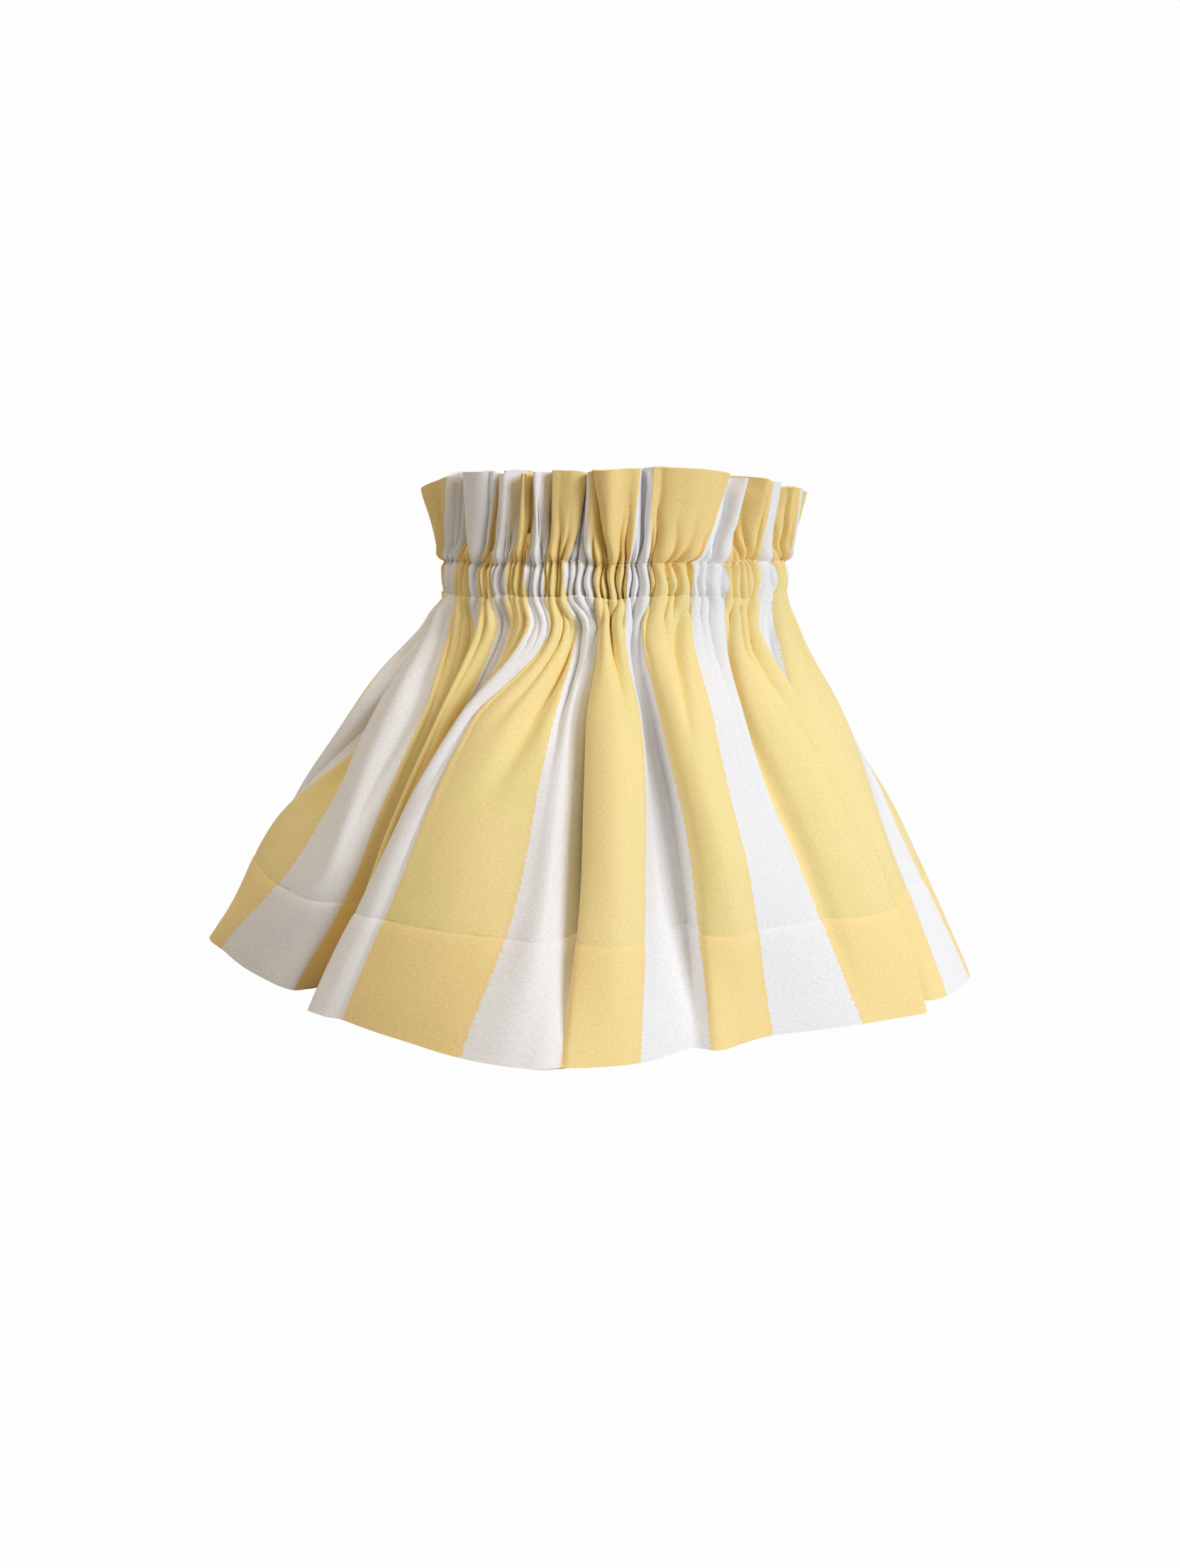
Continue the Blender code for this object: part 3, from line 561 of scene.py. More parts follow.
def all_round(lines, pairs, valley, crest, stray, loop):
    """The front's lines, and the even folds of the unseen back, as columns of numbers."""
    is_out = np.array([field.endswith("out") for field in lines[0]._fields])
    first = np.array(lines[-1])
    last = np.array(lines[0]) + np.where(is_out, 0.0, 360.0)
    last[0] = lines[0].stripe + STRIPES
    rows = [np.array(line) for line in lines]
    for between, outs in alternate(first[~is_out], last[~is_out], pairs, valley, crest, stray, loop):
        row = np.zeros(len(first))
        row[~is_out], row[is_out] = between, outs
        rows.append(row)
    return np.array(rows).T


SKIRT_LINES = all_round(FRONT_FOLDS, BACK_FOLDS, BACK_VALLEY, BACK_CREST, 0.0, NO_LOOP)
FRILL_LINES = all_round(
    FRONT_FRILL, BACK_FRILLS, BACK_FRILL_VALLEY, BACK_FRILL_CREST, FRILL_STRAY, FRILL_LOOP
)
print("lines all round:", SKIRT_LINES.shape[1], "skirt,", FRILL_LINES.shape[1], "frill")

# %% [markdown]
# ## The elastic gathers
# The elastic pulls the panel into ribs with sharp creases between them. Every crease has a place across
# the flat panel and its own depth. It is deepest in the casing, and runs on for a while into the frill
# above and the skirt below, some for a few millimetres and some a long way. That unevenness is what
# makes gathers look sewn.

# %% Levels from the packed model
RING_WIRE_RADIUS = 2.0 * MM
GATHER_RADIUS = 54.4 * MM

axis_low, axis_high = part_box("bottom_ring")
AXIS = ((axis_low[0] + axis_high[0]) / 2, (axis_low[1] + axis_high[1]) / 2)
BOTTOM_RING_RADIUS = (axis_high[0] - axis_low[0]) / 2 - RING_WIRE_RADIUS
SKIRT_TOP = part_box("skirt")[1][2]
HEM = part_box("skirt")[0][2]
CASING_LOW, CASING_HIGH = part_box("casing")[0][2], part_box("casing")[1][2]
FRILL_LOW, FRILL_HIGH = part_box("frill")[0][2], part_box("frill")[1][2]
LOWER_ROW = (SKIRT_TOP + CASING_LOW) / 2
UPPER_ROW = (CASING_HIGH + FRILL_LOW) / 2
CASING_HALF = (UPPER_ROW - LOWER_ROW) / 2
print("casing from", round(LOWER_ROW, 4), "to", round(UPPER_ROW, 4))

# %% Creases
CREASES = 116
CREASE_JITTER = 0.3
CREASE_WIDTH = 0.24  # as a share of the cloth between two creases
DEPTH_MM = (3.5, 5.6)
LONG_SHARE = 0.4
LONG_DOWN_MM, SHORT_DOWN_MM = (18.0, 40.0), (6.0, 12.0)
LONG_UP_MM, SHORT_UP_MM = (10.0, 20.0), (5.0, 9.0)
LEAN = 0.35
TURN = 1.5
CREASE_SEED = 7
chance = np.random.default_rng(CREASE_SEED)


def drawn(low, high):
    """A number for every crease, drawn by chance."""
    return chance.uniform(low, high, CREASES)


crease_place = np.arange(CREASES) + drawn(-CREASE_JITTER, CREASE_JITTER)
crease_place = PANEL_START + crease_place * PANEL_WIDTH / CREASES
rib_widths = np.diff(crease_place, append=crease_place[0] + PANEL_WIDTH)
crease_width = CREASE_WIDTH * (rib_widths + np.roll(rib_widths, 1)) / 2
crease_depth = drawn(*DEPTH_MM) * MM
is_long = drawn(0.0, 1.0) < LONG_SHARE
crease_down = np.where(is_long, drawn(*LONG_DOWN_MM), drawn(*SHORT_DOWN_MM)) * MM
crease_up = np.where(is_long, drawn(*LONG_UP_MM), drawn(*SHORT_UP_MM)) * MM
crease_lean = drawn(-LEAN, LEAN)
crease_turn = np.cumsum(drawn(-TURN, TURN))  # neighbours bend nearly together
print("creases:", CREASES, "with", int(is_long.sum()), "long ones")

# %% A long crease across the frill's middle tongue
TONGUE_STRIPE = 12.45
TONGUE_LEAN = -1.1
TONGUE_UP = 22.0 * MM
TONGUE_DEPTH = 8.5 * MM

slanted = int(np.argmin(np.abs(crease_place - across_at(TONGUE_STRIPE))))
crease_lean[slanted] = TONGUE_LEAN
crease_up[slanted] = TONGUE_UP
crease_depth[slanted] = TONGUE_DEPTH
print("slanting crease:", slanted)

# %% How creases shape a row of the cloth
CREASE_SPREAD = 42.0 * MM
LEAN_REACH = 12.0 * MM
WIGGLE = 1.7 * MM
WIGGLE_LENGTH = 13.0 * MM
WIGGLE_FADE = 5.0 * MM
MEAN_REACH = 16.0 * MM


def local_mean(values, reach):
    """A closed row of values, averaged over a reach either way."""
    steps = len(values) - 1
    waves = np.fft.rfftfreq(steps, PANEL_WIDTH / steps)
    kept = np.fft.rfft(values[:-1]) * np.exp(-0.5 * (math.tau * waves * reach) ** 2)
    mean = np.fft.irfft(kept, steps)
    return np.append(mean, mean[0])


def crease_relief(across, height, fade, spread):
    """Ribs above and creases below even cloth, along a row at a height above the elastic's middle."""
    beyond = math.copysign(max(abs(height) - CASING_HALF, 0.0), height)
    lean = crease_lean * math.tanh(beyond / LEAN_REACH) * LEAN_REACH
    wiggle = WIGGLE / (1.0 + abs(beyond) / WIGGLE_FADE)
    lean = lean + wiggle * np.sin(math.tau * height / WIGGLE_LENGTH + crease_turn)
    apart = across[:, None] - (crease_place + lean)[None, :]
    apart -= PANEL_WIDTH * np.round(apart / PANEL_WIDTH)
    cut = (crease_depth * fade * np.exp(-np.abs(apart) / (crease_width * spread))).sum(axis=1)
    return local_mean(cut, MEAN_REACH) - cut


print("longest crease below the casing:", round(float(crease_down.max()), 4), "m")

# %% Small waves and hills
HILLS = 512
Waves = namedtuple("Waves", "height wide tall seed")


def bump_at(distance, middle, half_width):
    """A smooth hill, 1 high at its middle."""
    return math.exp(-(((distance - middle) / half_width) ** 2))


def soft_noise(waves, across, up=0.0):
    """Smooth seeded hills along a row of the flat cloth, closed across the panel."""
    hills = np.random.default_rng(waves.seed).uniform(-1.0, 1.0, (HILLS, HILLS))
    span = round(PANEL_WIDTH / waves.wide)
    gx, gy = (across - PANEL_START) / PANEL_WIDTH * span, up / waves.tall
    ix, iy = np.floor(gx).astype(int), math.floor(gy)
    fx, fy = gx - ix, gy - iy
    fx, fy = fx * fx * (3 - 2 * fx), fy * fy * (3 - 2 * fy)
    a, b = hills[iy % HILLS, ix % span], hills[iy % HILLS, (ix + 1) % span]
    c, d = hills[(iy + 1) % HILLS, ix % span], hills[(iy + 1) % HILLS, (ix + 1) % span]
    return waves.height * ((a + (b - a) * fx) * (1 - fy) + (c + (d - c) * fx) * fy)


print("hills each way:", HILLS)

# %% The cloth beyond the casing
PINCH_HALF_WIDTH = 0.9 * MM
DEEPEST_CUT = 2.6 * MM
CUT_GROWTH = 0.25  # how much deeper creases may cut, for each metre from the casing
WANDER_FADE = 8.0 * MM

Side = namedtuple("Side", "way wander pinch puff puff_at puff_reach puff_waves slack_waves slack_from")
BELOW = Side(
    way=-1, wander=Waves(0.8 * MM, 0.022, 1.0, 31), pinch=0.12 * MM,
    puff=0.5 * MM, puff_at=0.009, puff_reach=0.006, puff_waves=Waves(1.0 * MM, 0.013, 0.009, 13),
    slack_waves=Waves(0.7 * MM, 0.034, 0.03, 3), slack_from=0.03,
)
ABOVE = Side(
    way=1, wander=Waves(0.8 * MM, 0.022, 1.0, 32), pinch=0.9 * MM,
    puff=0.5 * MM, puff_at=0.0028, puff_reach=0.002, puff_waves=Waves(0.5 * MM, 0.013, 0.02, 23),
    slack_waves=Waves(0.35 * MM, 0.02, 0.012, 9), slack_from=0.01,
)


def gathered(side, across, distance, drawn_in=0.0):
    """How far the gathers still move the cloth out, along a row at a distance from the casing."""
    fade = 1.0 / (1.0 + (distance / (crease_up if side.way > 0 else crease_down)) ** 2)
    height = side.way * (CASING_HALF + distance)
    relief = crease_relief(across, height, fade, 1.0 + distance / CREASE_SPREAD)
    puff = side.puff + soft_noise(side.puff_waves, across, distance)
    relief += puff * bump_at(distance, side.puff_at, side.puff_reach)
    relief -= side.pinch * bump_at(distance, 0.0, PINCH_HALF_WIDTH)
    relief = np.maximum(relief - drawn_in, -DEEPEST_CUT - CUT_GROWTH * distance)
    return relief + soft_noise(side.slack_waves, across, distance) * min(distance / side.slack_from, 1.0)


print("puffs", BELOW.puff_at, "m below the casing and", ABOVE.puff_at, "m above it")

# %% Rows of the cloth


def plan(angles, reaches, z):
    """Points at angles in degrees from the front and reaches from the frame's axis."""
    a = np.radians(angles)
    x = AXIS[0] + reaches * np.sin(a)
    y = AXIS[1] - reaches * np.cos(a)
    return np.stack([x, y, np.broadcast_to(z, x.shape)], axis=-1)


def waist_angles(stripe):
    """Where a stripe stands round the gathers."""
    return around(SKIRT_LINES[0], SKIRT_LINES[1], 360.0, stripe)


def skirt_rows(stripe, falls):
    """The skirt's outer face before its small creases, row by row down to the hem."""
    lines, waist, upper, upper_out, lower, lower_out, hem, hem_out = SKIRT_LINES
    kink = waist + by_stripe(KINKS, lines)
    share = by_stripe(SHOULDERS, lines)
    shoulder = np.where(upper_out > SHALLOW, share * upper_out, SHOULDER_VALLEY)
    angles = down(np.stack([waist, kink, upper, lower, hem], axis=1), falls)
    outs = down(np.stack([0.0 * waist, shoulder, upper_out, lower_out, hem_out], axis=1) * MM, falls)
    rows = []
    for i, fall in enumerate(falls):
        eased = fall - EASE_FALL * (1.0 - fall) * (1.0 - math.exp(-fall / EASE_FALL))
        straight = GATHER_RADIUS + eased * (BOTTOM_RING_RADIUS - GATHER_RADIUS)
        reaches = straight + around(lines, outs[:, i], 0.0, stripe)
        turned = around(lines, angles[:, i], 360.0, stripe)
        rows.append(plan(turned, reaches, LOWER_ROW + fall * (HEM - LOWER_ROW)))
    return np.array(rows)


def frill_rows(stripe, rises):
    """The frill's outer face before its small creases, row by row up to its fold."""
    lines, top, top_out = FRILL_LINES
    foot = waist_angles(stripe)
    tip = around(lines, top, 360.0, stripe)
    deepened = np.where(top_out < 0.0, VALLEY_GAIN * top_out, top_out)
    out = around(lines, deepened * MM, 0.0, stripe)
    sag = by_stripe(SAGS_MM, stripe) * MM
    rise = rises[:, None]
    reaches = GATHER_RADIUS + rise**FRILL_OPENING * out
    angles = foot + rise**FRILL_FANNING * (tip - foot)
    return plan(angles, reaches, UPPER_ROW + rise * (FRILL_HIGH - sag - UPPER_ROW))


print("one skirt row:", skirt_rows(np.linspace(0.0, STRIPES, 5), [0.5]).shape)

# %% Pressing creases into the rows
TINY = 1e-12


def outward(rows):
    """The way out of the cloth at each point, from its neighbours round the panel and up it."""
    along = np.gradient(rows, axis=1)
    along[:, 0] = along[:, -1] = rows[:, 1] - rows[:, -2]
    up = np.gradient(rows, axis=0)
    out = np.cross(along, up)
    return out / np.maximum(np.linalg.norm(out, axis=-1, keepdims=True), TINY)


def press(rows, amounts, level):
    """Move rows that run upwards in or out: level near the gathers, square to the cloth further off."""
    flat = rows - np.array([AXIS[0], AXIS[1], 0.0])
    flat[..., 2] = 0.0
    flat /= np.linalg.norm(flat, axis=-1, keepdims=True)
    share = level[:, None, None]
    way = share * flat + (1.0 - share) * outward(rows)
    way /= np.linalg.norm(way, axis=-1, keepdims=True)
    return rows + way * amounts[..., None]


print("ready to press creases")

# %% [markdown]
# ## Cutting and gathering a panel
# Each section of the cover starts as a flat grid of its cut size. Its UV map is written while it is
# flat, and then every point is carried to its place in the folds. A Solidify modifier gives the cloth
# its thickness last.

# %% Cutting and laying out a panel
OFF_EDGE = 1e-9  # keeps the panel's ends clear of a stripe's edge


def panel_places(columns):
    """Even steps across the whole flat panel."""
    return PANEL_START + np.linspace(0.0, PANEL_WIDTH, columns + 1) + OFF_EDGE


def cut_panel(name, flat, columns, rows):
    """A flat grid of cloth at its cut size."""
    bpy.ops.mesh.primitive_grid_add(x_subdivisions=columns, y_subdivisions=rows, size=1.0)
    made = bpy.context.object
    made.name = made.data.name = name
    made.scale = (*flat, 1.0)
    bpy.ops.object.transform_apply(scale=True)
    return made


def lay_out(piece, points, acrosses, ups):
    """Write the panel's flat metres down as its UV map, and carry its points to their rows."""
    mesh = piece.data
    flat = np.stack(np.meshgrid(acrosses, ups), axis=-1)
    corners = np.zeros(len(mesh.loops), dtype=int)
    mesh.loops.foreach_get("vertex_index", corners)
    mesh.uv_layers[0].name = FLAT_MAP
    mesh.uv_layers[FLAT_MAP].data.foreach_set("uv", flat.reshape(-1, 2)[corners].ravel())
    mesh.vertices.foreach_set("co", points.reshape(-1, 3).ravel())
    mesh.update()


print("three places across the panel:", panel_places(2).round(3))

# %% Thickening and hanging a panel
CLOTH = 0.55 * MM
CUT_EDGE = 80.0
SEW_REACH = 1e-6


def close_and_thicken(piece, thickness):
    """Sew the panel's two ends together where they meet, and give the cloth its thickness, inwards."""
    bpy.ops.object.mode_set(mode="EDIT")
    bpy.ops.mesh.select_all(action="SELECT")
    bpy.ops.mesh.remove_doubles(threshold=SEW_REACH)
    bpy.ops.object.mode_set(mode="OBJECT")
    wall = piece.modifiers.new("cloth_thickness", "SOLIDIFY")
    wall.thickness = thickness
    wall.offset = -1.0
    bpy.ops.object.modifier_apply(modifier=wall.name)
    bpy.ops.object.shade_smooth()
    piece.data.set_sharp_from_angle(angle=math.radians(CUT_EDGE))
    piece.data.materials.append(cotton)


def gather(name, flat, points, acrosses, ups, thickness):
    """A panel cut flat at its width and length, and carried into its folds row by row."""
    made = cut_panel(name, flat, points.shape[1] - 1, points.shape[0] - 1)
    lay_out(made, points, acrosses, ups)
    close_and_thicken(made, thickness)
    return made


def hang(piece, *nodes):
    """Let a finished panel ride on the cover in place of its plain solids."""
    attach(piece, "cover")
    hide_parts(*nodes)


print("cloth:", CLOTH, "m thick")

# %% [markdown]
# ## The skirt
# The skirt hangs from the lower stitch row to the hem, which is turned up inside and stitched about a
# quarter of the way up. Just under the stitch row the cloth puffs out between its creases, and a few
# folds slant away where the elastic pulls harder on one side. Nearer the hem only the big folds are
# left, with a shallow groove and small puckers along the stitches.

# %% Slanting folds below the gathers
Pull = namedtuple("Pull", "top bottom start end depth_mm width_mm")
PULLS = [Pull(*line) for line in [
    (3.9, 3.62, 0.004, 0.075, 4.0, 4.5),
    (10.62, 10.33, 0.004, 0.046, 2.6, 4.0),
    (10.98, 10.52, 0.005, 0.068, 4.6, 4.8),
    (11.2, 11.06, 0.003, 0.055, 2.8, 3.6),
    (12.7, 12.8, 0.004, 0.03, 1.6, 3.0),
    (14.8, 14.36, 0.003, 0.05, 2.4, 3.8),
    (16.06, 16.1, 0.003, 0.06, 2.6, 3.2),
    (16.36, 16.62, 0.002, 0.034, 2.4, 3.2),
]]


def pulled_in(across, drop):
    """How far the slanting folds of the front draw the cloth in, along one row."""
    depth = np.zeros_like(across)
    for pull in PULLS:
        share = (drop - pull.start) / (pull.end - pull.start)
        if 0.0 < share < 1.0:
            first, last = across_at(pull.top), across_at(pull.bottom)
            apart = (across - first - share * (last - first)) / (pull.width_mm * MM)
            swell = math.sin(math.pi * math.sqrt(share))
            depth += pull.depth_mm * MM * swell * np.exp(-(apart**2))
    return depth


print("slanting folds:", len(PULLS))

# %% How the skirt's small creases lift it
STITCH_DROP = HEM_STITCH_FALL * SKIRT_DROP
PUCKER_WAVES = Waves(0.22 * MM, 0.008, 0.05, 5)
PUCKER_HALF_WIDTH = 0.006
HEM_STEP, HEM_STEP_LENGTH = 0.3 * MM, 0.0006
GROOVE, GROOVE_HALF_WIDTH = 0.3 * MM, 0.0007


def skirt_lift(across, drop):
    """How far gathers, slanting folds and the hem's stitches move the skirt out, along one row."""
    relief = gathered(BELOW, across, drop, pulled_in(across, drop))
    pucker = soft_noise(PUCKER_WAVES, across, drop) * bump_at(drop, STITCH_DROP, PUCKER_HALF_WIDTH)
    hem = HEM_STEP / (1.0 + math.exp(-(drop - STITCH_DROP) / HEM_STEP_LENGTH))
    hem -= GROOVE * bump_at(drop, STITCH_DROP, GROOVE_HALF_WIDTH)
    return relief + pucker + hem


print("hem stitches", round(STITCH_DROP, 4), "m down the skirt")

# %% Rows of the skirt
SKIRT_COLUMNS = 960
SKIRT_FACE_ROWS = 38
ROW_CROWDING = 1.3  # over 1, rows lie closer together near the gathers
BY_STITCHES_MM = np.array([-1.0, -0.5, 0.0, 0.5, 1.0])
SKIRT_LEVEL_FADE = 0.008  # over this drop, creases turn from level to square with the cloth
HEM_LAYER = 1.0 * MM
TURN_ROWS = 7
LEAST_HEIGHT = 0.4 * MM

skirt_across = panel_places(SKIRT_COLUMNS)
skirt_stripes = stripe_at(skirt_across)
by_stitches = HEM_STITCH_FALL + BY_STITCHES_MM * MM / SKIRT_DROP
falls = np.sort(np.append(np.linspace(0.0, 1.0, SKIRT_FACE_ROWS) ** ROW_CROWDING, by_stitches))
drops = falls * SKIRT_DROP
face = skirt_rows(skirt_stripes, falls)
face[..., 2] += np.exp(-drops / WANDER_FADE)[:, None] * soft_noise(BELOW.wander, skirt_across)
lift = np.array([skirt_lift(skirt_across, drop) for drop in drops])
level = np.exp(-drops / SKIRT_LEVEL_FADE)
face = press(face[::-1], lift[::-1], level[::-1])[::-1]
face_out = outward(face[::-1])[::-1]
turn_falls = np.linspace(1.0, HEM_STITCH_FALL, TURN_ROWS)
turn = skirt_rows(skirt_stripes, turn_falls)
turn -= outward(turn) * HEM_LAYER
skirt_points = np.concatenate([face, turn])
skirt_points[..., 2] = np.maximum(skirt_points[..., 2], LEAST_HEIGHT)
print("skirt rows:", len(falls), "outside,", TURN_ROWS, "in the turned hem")

# %% Skirt
hem_share = HEM_TURN / (1.0 - HEM_STITCH_FALL)
ups = np.concatenate([(1.0 - falls) * hem_share, (turn_falls - 1.0) * hem_share])
skirt_flat = (PANEL_WIDTH, SKIRT_DROP + HEM_TURN)
skirt = gather("skirt_cloth", skirt_flat, skirt_points, skirt_across, ups, CLOTH)
hang(skirt, "skirt", "hem_facing")
print("skirt:", len(skirt.data.polygons), "faces")

# %% [markdown]
# ## The casing
# The casing is the channel that the elastic runs through, between two stitch rows. Its ribs bulge half
# way up, where nothing holds them, and are drawn in at the stitches.

# %% Casing
CASING_COLUMNS = 1344
CASING_ROWS = 14
CASING_SWELL = 0.8 * MM
RIB_EASE = 0.25
RIB_WAVES = Waves(0.4 * MM, 0.012, 0.006, 17)
RIB_START = 0.1  # how far up its waves the casing lies


def casing_lift(across, share):
    """How far the ribs stand out, along a row at a share of the casing's height."""
    height = (2.0 * share - 1.0) * CASING_HALF
    free = math.sin(math.pi * share)
    relief = crease_relief(across, height, 1.0 - RIB_EASE * free, 1.0) + CASING_SWELL * free
    relief += free * soft_noise(RIB_WAVES, across, height + RIB_START)
    relief -= BELOW.pinch * bump_at(height, -CASING_HALF, PINCH_HALF_WIDTH)
    relief -= ABOVE.pinch * bump_at(height, CASING_HALF, PINCH_HALF_WIDTH)
    return np.maximum(relief, -DEEPEST_CUT)


across = panel_places(CASING_COLUMNS)
shares = np.linspace(0.0, 1.0, CASING_ROWS + 1)
lift = np.array([casing_lift(across, share) for share in shares])
low = LOWER_ROW + soft_noise(BELOW.wander, across)
high = UPPER_ROW + soft_noise(ABOVE.wander, across)
heights = low + shares[:, None] * (high - low)
casing_points = plan(waist_angles(stripe_at(across)), GATHER_RADIUS + lift, heights)
ups = SKIRT_DROP + shares * CASING_DROP
casing = gather("casing_cloth", (PANEL_WIDTH, CASING_DROP), casing_points, across, ups, CLOTH)
hang(casing, "casing")
print("casing:", len(casing.data.polygons), "faces")

# %% [markdown]
# ## The frill
# Above the casing the panel is folded over on itself, so the frill is two layers thick. The folds of
# the front stand out as flat tongues with narrow valleys between them, and their feet puff out over the
# stitch row.

# %% Frill
FRILL_COLUMNS = 1344
FRILL_ROWS = 22
FRILL_LAYERS = 1.2 * MM
FRILL_LEVEL_FADE = 0.006
EDGE_WAVES = Waves(1.4 * MM, 0.024, 1.0, 21)

across = panel_places(FRILL_COLUMNS)
rises = np.linspace(0.0, 1.0, FRILL_ROWS + 1)
frill_points = frill_rows(stripe_at(across), rises)
heights = rises * FRILL_RISE
frill_points[..., 2] += np.exp(-heights / WANDER_FADE)[:, None] * soft_noise(ABOVE.wander, across)
lift = np.array([gathered(ABOVE, across, height) for height in heights])
frill_points = press(frill_points, lift, np.exp(-heights / FRILL_LEVEL_FADE))
frill_points[..., 2] += rises[:, None] ** 2 * soft_noise(EDGE_WAVES, across)
ups = SKIRT_DROP + CASING_DROP + heights
frill = gather("frill_cloth", (PANEL_WIDTH, FRILL_RISE), frill_points, across, ups, FRILL_LAYERS)
hang(frill, "frill")
print("frill:", len(frill.data.polygons), "faces")

# %% [markdown]
# ## The cloth inside
# Two strips of the same cotton lie inside the cover. A straight facing closes the channel behind the
# elastic, and the panel's two ends are sewn together at the back, with their allowance laid flat
# against the skirt.

# %% Facing behind the elastic
FACING_COLUMNS = 144
FACING_ROWS = 6
FACING_CLOTH = 0.45 * MM
FACING_SLACK = 0.05 * MM
FACING_WAVES = 16.0
FACING_SLANT = 900.0  # radians in each metre of height

facing_low, facing_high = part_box("casing_facing")
FACING_RADIUS = (facing_high[0] - facing_low[0]) / 2 - 2 * FACING_SLACK
FACING_LENGTH = math.tau * FACING_RADIUS
FACING_DROP = UPPER_ROW - LOWER_ROW

shares = np.linspace(0.0, 1.0, FACING_COLUMNS + 1)
heights = np.linspace(LOWER_ROW, UPPER_ROW, FACING_ROWS + 1)
slack = FACING_SLACK * np.sin(math.tau * FACING_WAVES * shares + FACING_SLANT * heights[:, None])
facing_points = plan(360.0 * shares, FACING_RADIUS + slack, heights[:, None])
across, facing_flat = shares * FACING_LENGTH, (FACING_LENGTH, FACING_DROP)
facing = gather("casing_facing_tape", facing_flat, facing_points, across, heights, FACING_CLOTH)
hang(facing, "casing_facing")
print("facing:", round(FACING_LENGTH, 4), "m long")

# %% Seam at the back
SEAM_STRIPES = (26.56, 27.44)
SEAM_TOP_FALL = 0.18
SEAM_GAP = 0.4 * MM
JUST_UNDER = 1e-6

seam_columns = np.flatnonzero((skirt_stripes > SEAM_STRIPES[0]) & (skirt_stripes < SEAM_STRIPES[1]))
seam_rows = np.flatnonzero((falls > SEAM_TOP_FALL) & (falls < HEM_STITCH_FALL - JUST_UNDER))[::-1]
seam_points = (face - face_out * (CLOTH + SEAM_GAP))[np.ix_(seam_rows, seam_columns)]
seam_across = skirt_across[seam_columns]
seam_ups = (1.0 - falls[seam_rows]) * hem_share
seam_flat = (float(seam_across[-1] - seam_across[0]), float(seam_ups[-1] - seam_ups[0]))
seam = gather("back_seam_cloth", seam_flat, seam_points, seam_across, seam_ups, CLOTH)
hang(seam, "back_seam")
print("seam:", [round(v, 4) for v in seam_flat], "m")

# %% [markdown]
# ## The stitches
# A machine stitch is a short length of thread between two needle holes. One stitch is modelled from a
# six-sided cylinder with softened ends. An Array modifier repeats it, and a Curve modifier bends the
# whole row along the cloth.

# %% Cotton thread
THREAD_COLOURS = (colour(250, 236, 204), colour(254, 247, 230))


def spun_thread():
    """Matt cotton thread, mottled by its fibres."""
    r = Recipe("cotton_thread")
    here = r.add("TexCoord").outputs["Object"]
    fibre = r.noise(here, scale=5200.0, detail=2.0)
    cream = r.blend(fibre, *THREAD_COLOURS)
    return r.dress(cream, fibre, strength=0.4, distance=0.00005, Roughness=0.85)


thread = spun_thread()
print("thread nodes:", len(thread.node_tree.nodes))

# %% One stitch
STITCH_LENGTH = 1.9 * MM
THREAD_RADIUS = 0.24 * MM
THREAD_SIDES = 6
STITCH_ROUNDING = 0.12 * MM
STITCH_END_ANGLE = 70.0


def one_stitch(name):
    """A short thread along X, with softened ends and a joint in its middle to bend at."""
    bpy.ops.mesh.primitive_cylinder_add(vertices=THREAD_SIDES, radius=THREAD_RADIUS, depth=STITCH_LENGTH)
    made = bpy.context.object
    made.name = made.data.name = name
    bpy.ops.transform.rotate(value=math.pi / 2, orient_axis="Y", center_override=(0.0, 0.0, 0.0))
    bpy.ops.transform.translate(value=(STITCH_LENGTH / 2, 0.0, 0.0))
    bpy.ops.object.transform_apply(location=True, rotation=True)
    bpy.ops.object.mode_set(mode="EDIT")
    bpy.ops.mesh.select_all(action="SELECT")
    bpy.ops.mesh.bisect(plane_co=(STITCH_LENGTH / 2, 0.0, 0.0), plane_no=(1.0, 0.0, 0.0))
    bpy.ops.object.mode_set(mode="OBJECT")
    ends = made.modifiers.new("soft_ends", "BEVEL")
    ends.width = STITCH_ROUNDING
    ends.segments = 1
    ends.limit_method = "ANGLE"
    ends.angle_limit = math.radians(STITCH_END_ANGLE)
    bpy.ops.object.modifier_apply(modifier=ends.name)
    bpy.ops.object.shade_smooth()
    return made


print("stitch:", STITCH_LENGTH, "m long")

# %% Sewing a row
PITCH = 2.5 * MM


def sewing_line(points):
    """A closed curve through a row's points."""
    line = bpy.data.curves.new("sewing_line", "CURVE")
    line.dimensions = "3D"
    path = line.splines.new("POLY")
    path.points.add(len(points) - 1)
    path.points.foreach_set("co", np.column_stack([points, np.ones(len(points))]).ravel())
    path.use_cyclic_u = True
    made = bpy.data.objects.new("sewing_line", line)
    bpy.context.collection.objects.link(made)
    return made


def sew(name, points, node):
    """A row of stitches along a closed row of points, in place of the plain solid."""
    length = np.linalg.norm(np.diff(points, axis=0, append=points[:1]), axis=1).sum()
    count = int(length / PITCH)
    made = one_stitch(name)
    line = sewing_line(points)
    repeat = made.modifiers.new("stitches", "ARRAY")
    repeat.count = count
    repeat.use_relative_offset = False
    repeat.use_constant_offset = True
    repeat.constant_offset_displace = (length / count, 0.0, 0.0)
    follow = made.modifiers.new("along_the_row", "CURVE")
    follow.object = line
    for step in (repeat.name, follow.name):
        bpy.ops.object.modifier_apply(modifier=step)
    bpy.data.objects.remove(line)
    made.data.materials.append(thread)
    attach(made, "cover")
    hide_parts(node)
    return count


print("stitch pitch:", PITCH, "m")

# %% Three rows of stitches
HEM_PROUD = 0.16 * MM
GATHER_PROUD = 0.05 * MM

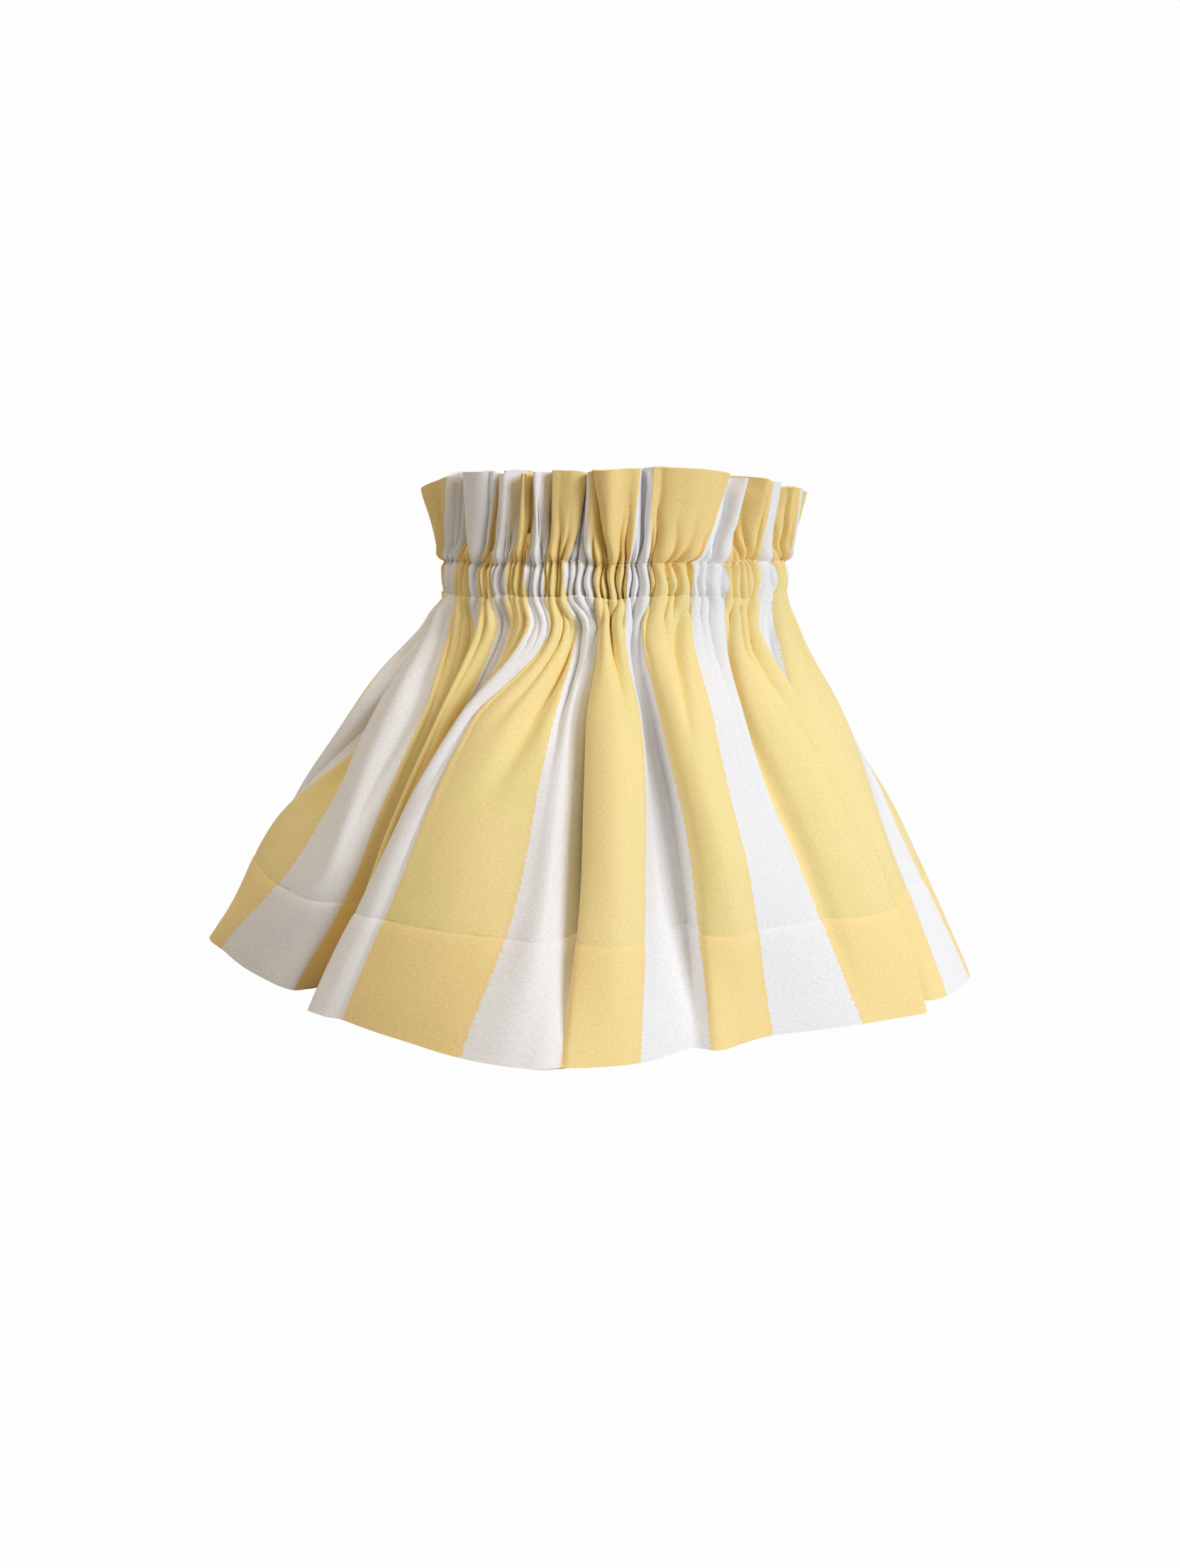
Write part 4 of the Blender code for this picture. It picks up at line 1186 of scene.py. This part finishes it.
hem_row = int(np.argmin(np.abs(falls - HEM_STITCH_FALL)))
hem_path = (face + face_out * HEM_PROUD)[hem_row]
gather_paths = casing_points + outward(casing_points) * GATHER_PROUD
counts = [
    sew("hem_stitches", hem_path[:-1], "hem_stitch_row"),
    sew("lower_gather_stitches", gather_paths[0][:-1], "lower_stitch_row"),
    sew("upper_gather_stitches", gather_paths[-1][:-1], "upper_stitch_row"),
]
print("stitches:", counts)

# %% [markdown]
# ## The frame and the elastic
# The wire frame and the elastic keep the packed model's own shapes, and only need finishes. Powder coat
# has a fine orange-peel surface. Woven elastic has ribs along the band, which its height alone can
# place.

# %% Powder coat and elastic
ELASTIC_RIB = 0.0011
COAT_COLOURS = (colour(228, 228, 224), colour(238, 237, 232))
ELASTIC_COLOURS = (colour(226, 225, 220), colour(244, 243, 240))


def powder_coat():
    """White baked powder coat, with a fine orange-peel surface."""
    r = Recipe("powder_coat")
    here = r.add("TexCoord").outputs["Object"]
    peel = r.noise(here, scale=1400.0, detail=1.0)
    white = r.blend(r.noise(here, scale=60.0, detail=2.0), *COAT_COLOURS)
    return r.dress(white, peel, strength=0.1, distance=0.0001, Roughness=0.38)


def ribbed_elastic():
    """White woven elastic, ribbed along its length."""
    r = Recipe("ribbed_elastic")
    here = r.add("TexCoord").outputs["Object"]
    height = r.add("SeparateXYZ", i0=here).outputs[2]
    ribs = r.math("SINE", r.math("MULTIPLY", height, math.tau / ELASTIC_RIB))
    white = r.blend(r.noise(here, scale=1800.0, detail=1.0), *ELASTIC_COLOURS)
    return r.dress(white, ribs, strength=0.6, distance=0.0003, Roughness=0.8)


coat = powder_coat()
elastic = ribbed_elastic()
print("finishes:", coat.name, elastic.name)

# %% Finish the packed pieces
REPLACED = ("skirt", "hem_facing", "casing", "casing_facing", "back_seam", "frill")
REPLACED += ("hem_stitch_row", "lower_stitch_row", "upper_stitch_row")

finished = 0
for name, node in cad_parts.items():
    if name not in REPLACED:
        node.data.materials.clear()
        node.data.materials.append(elastic if name == "elastic_band" else coat)
        finished += 1
print("packed pieces finished:", finished)
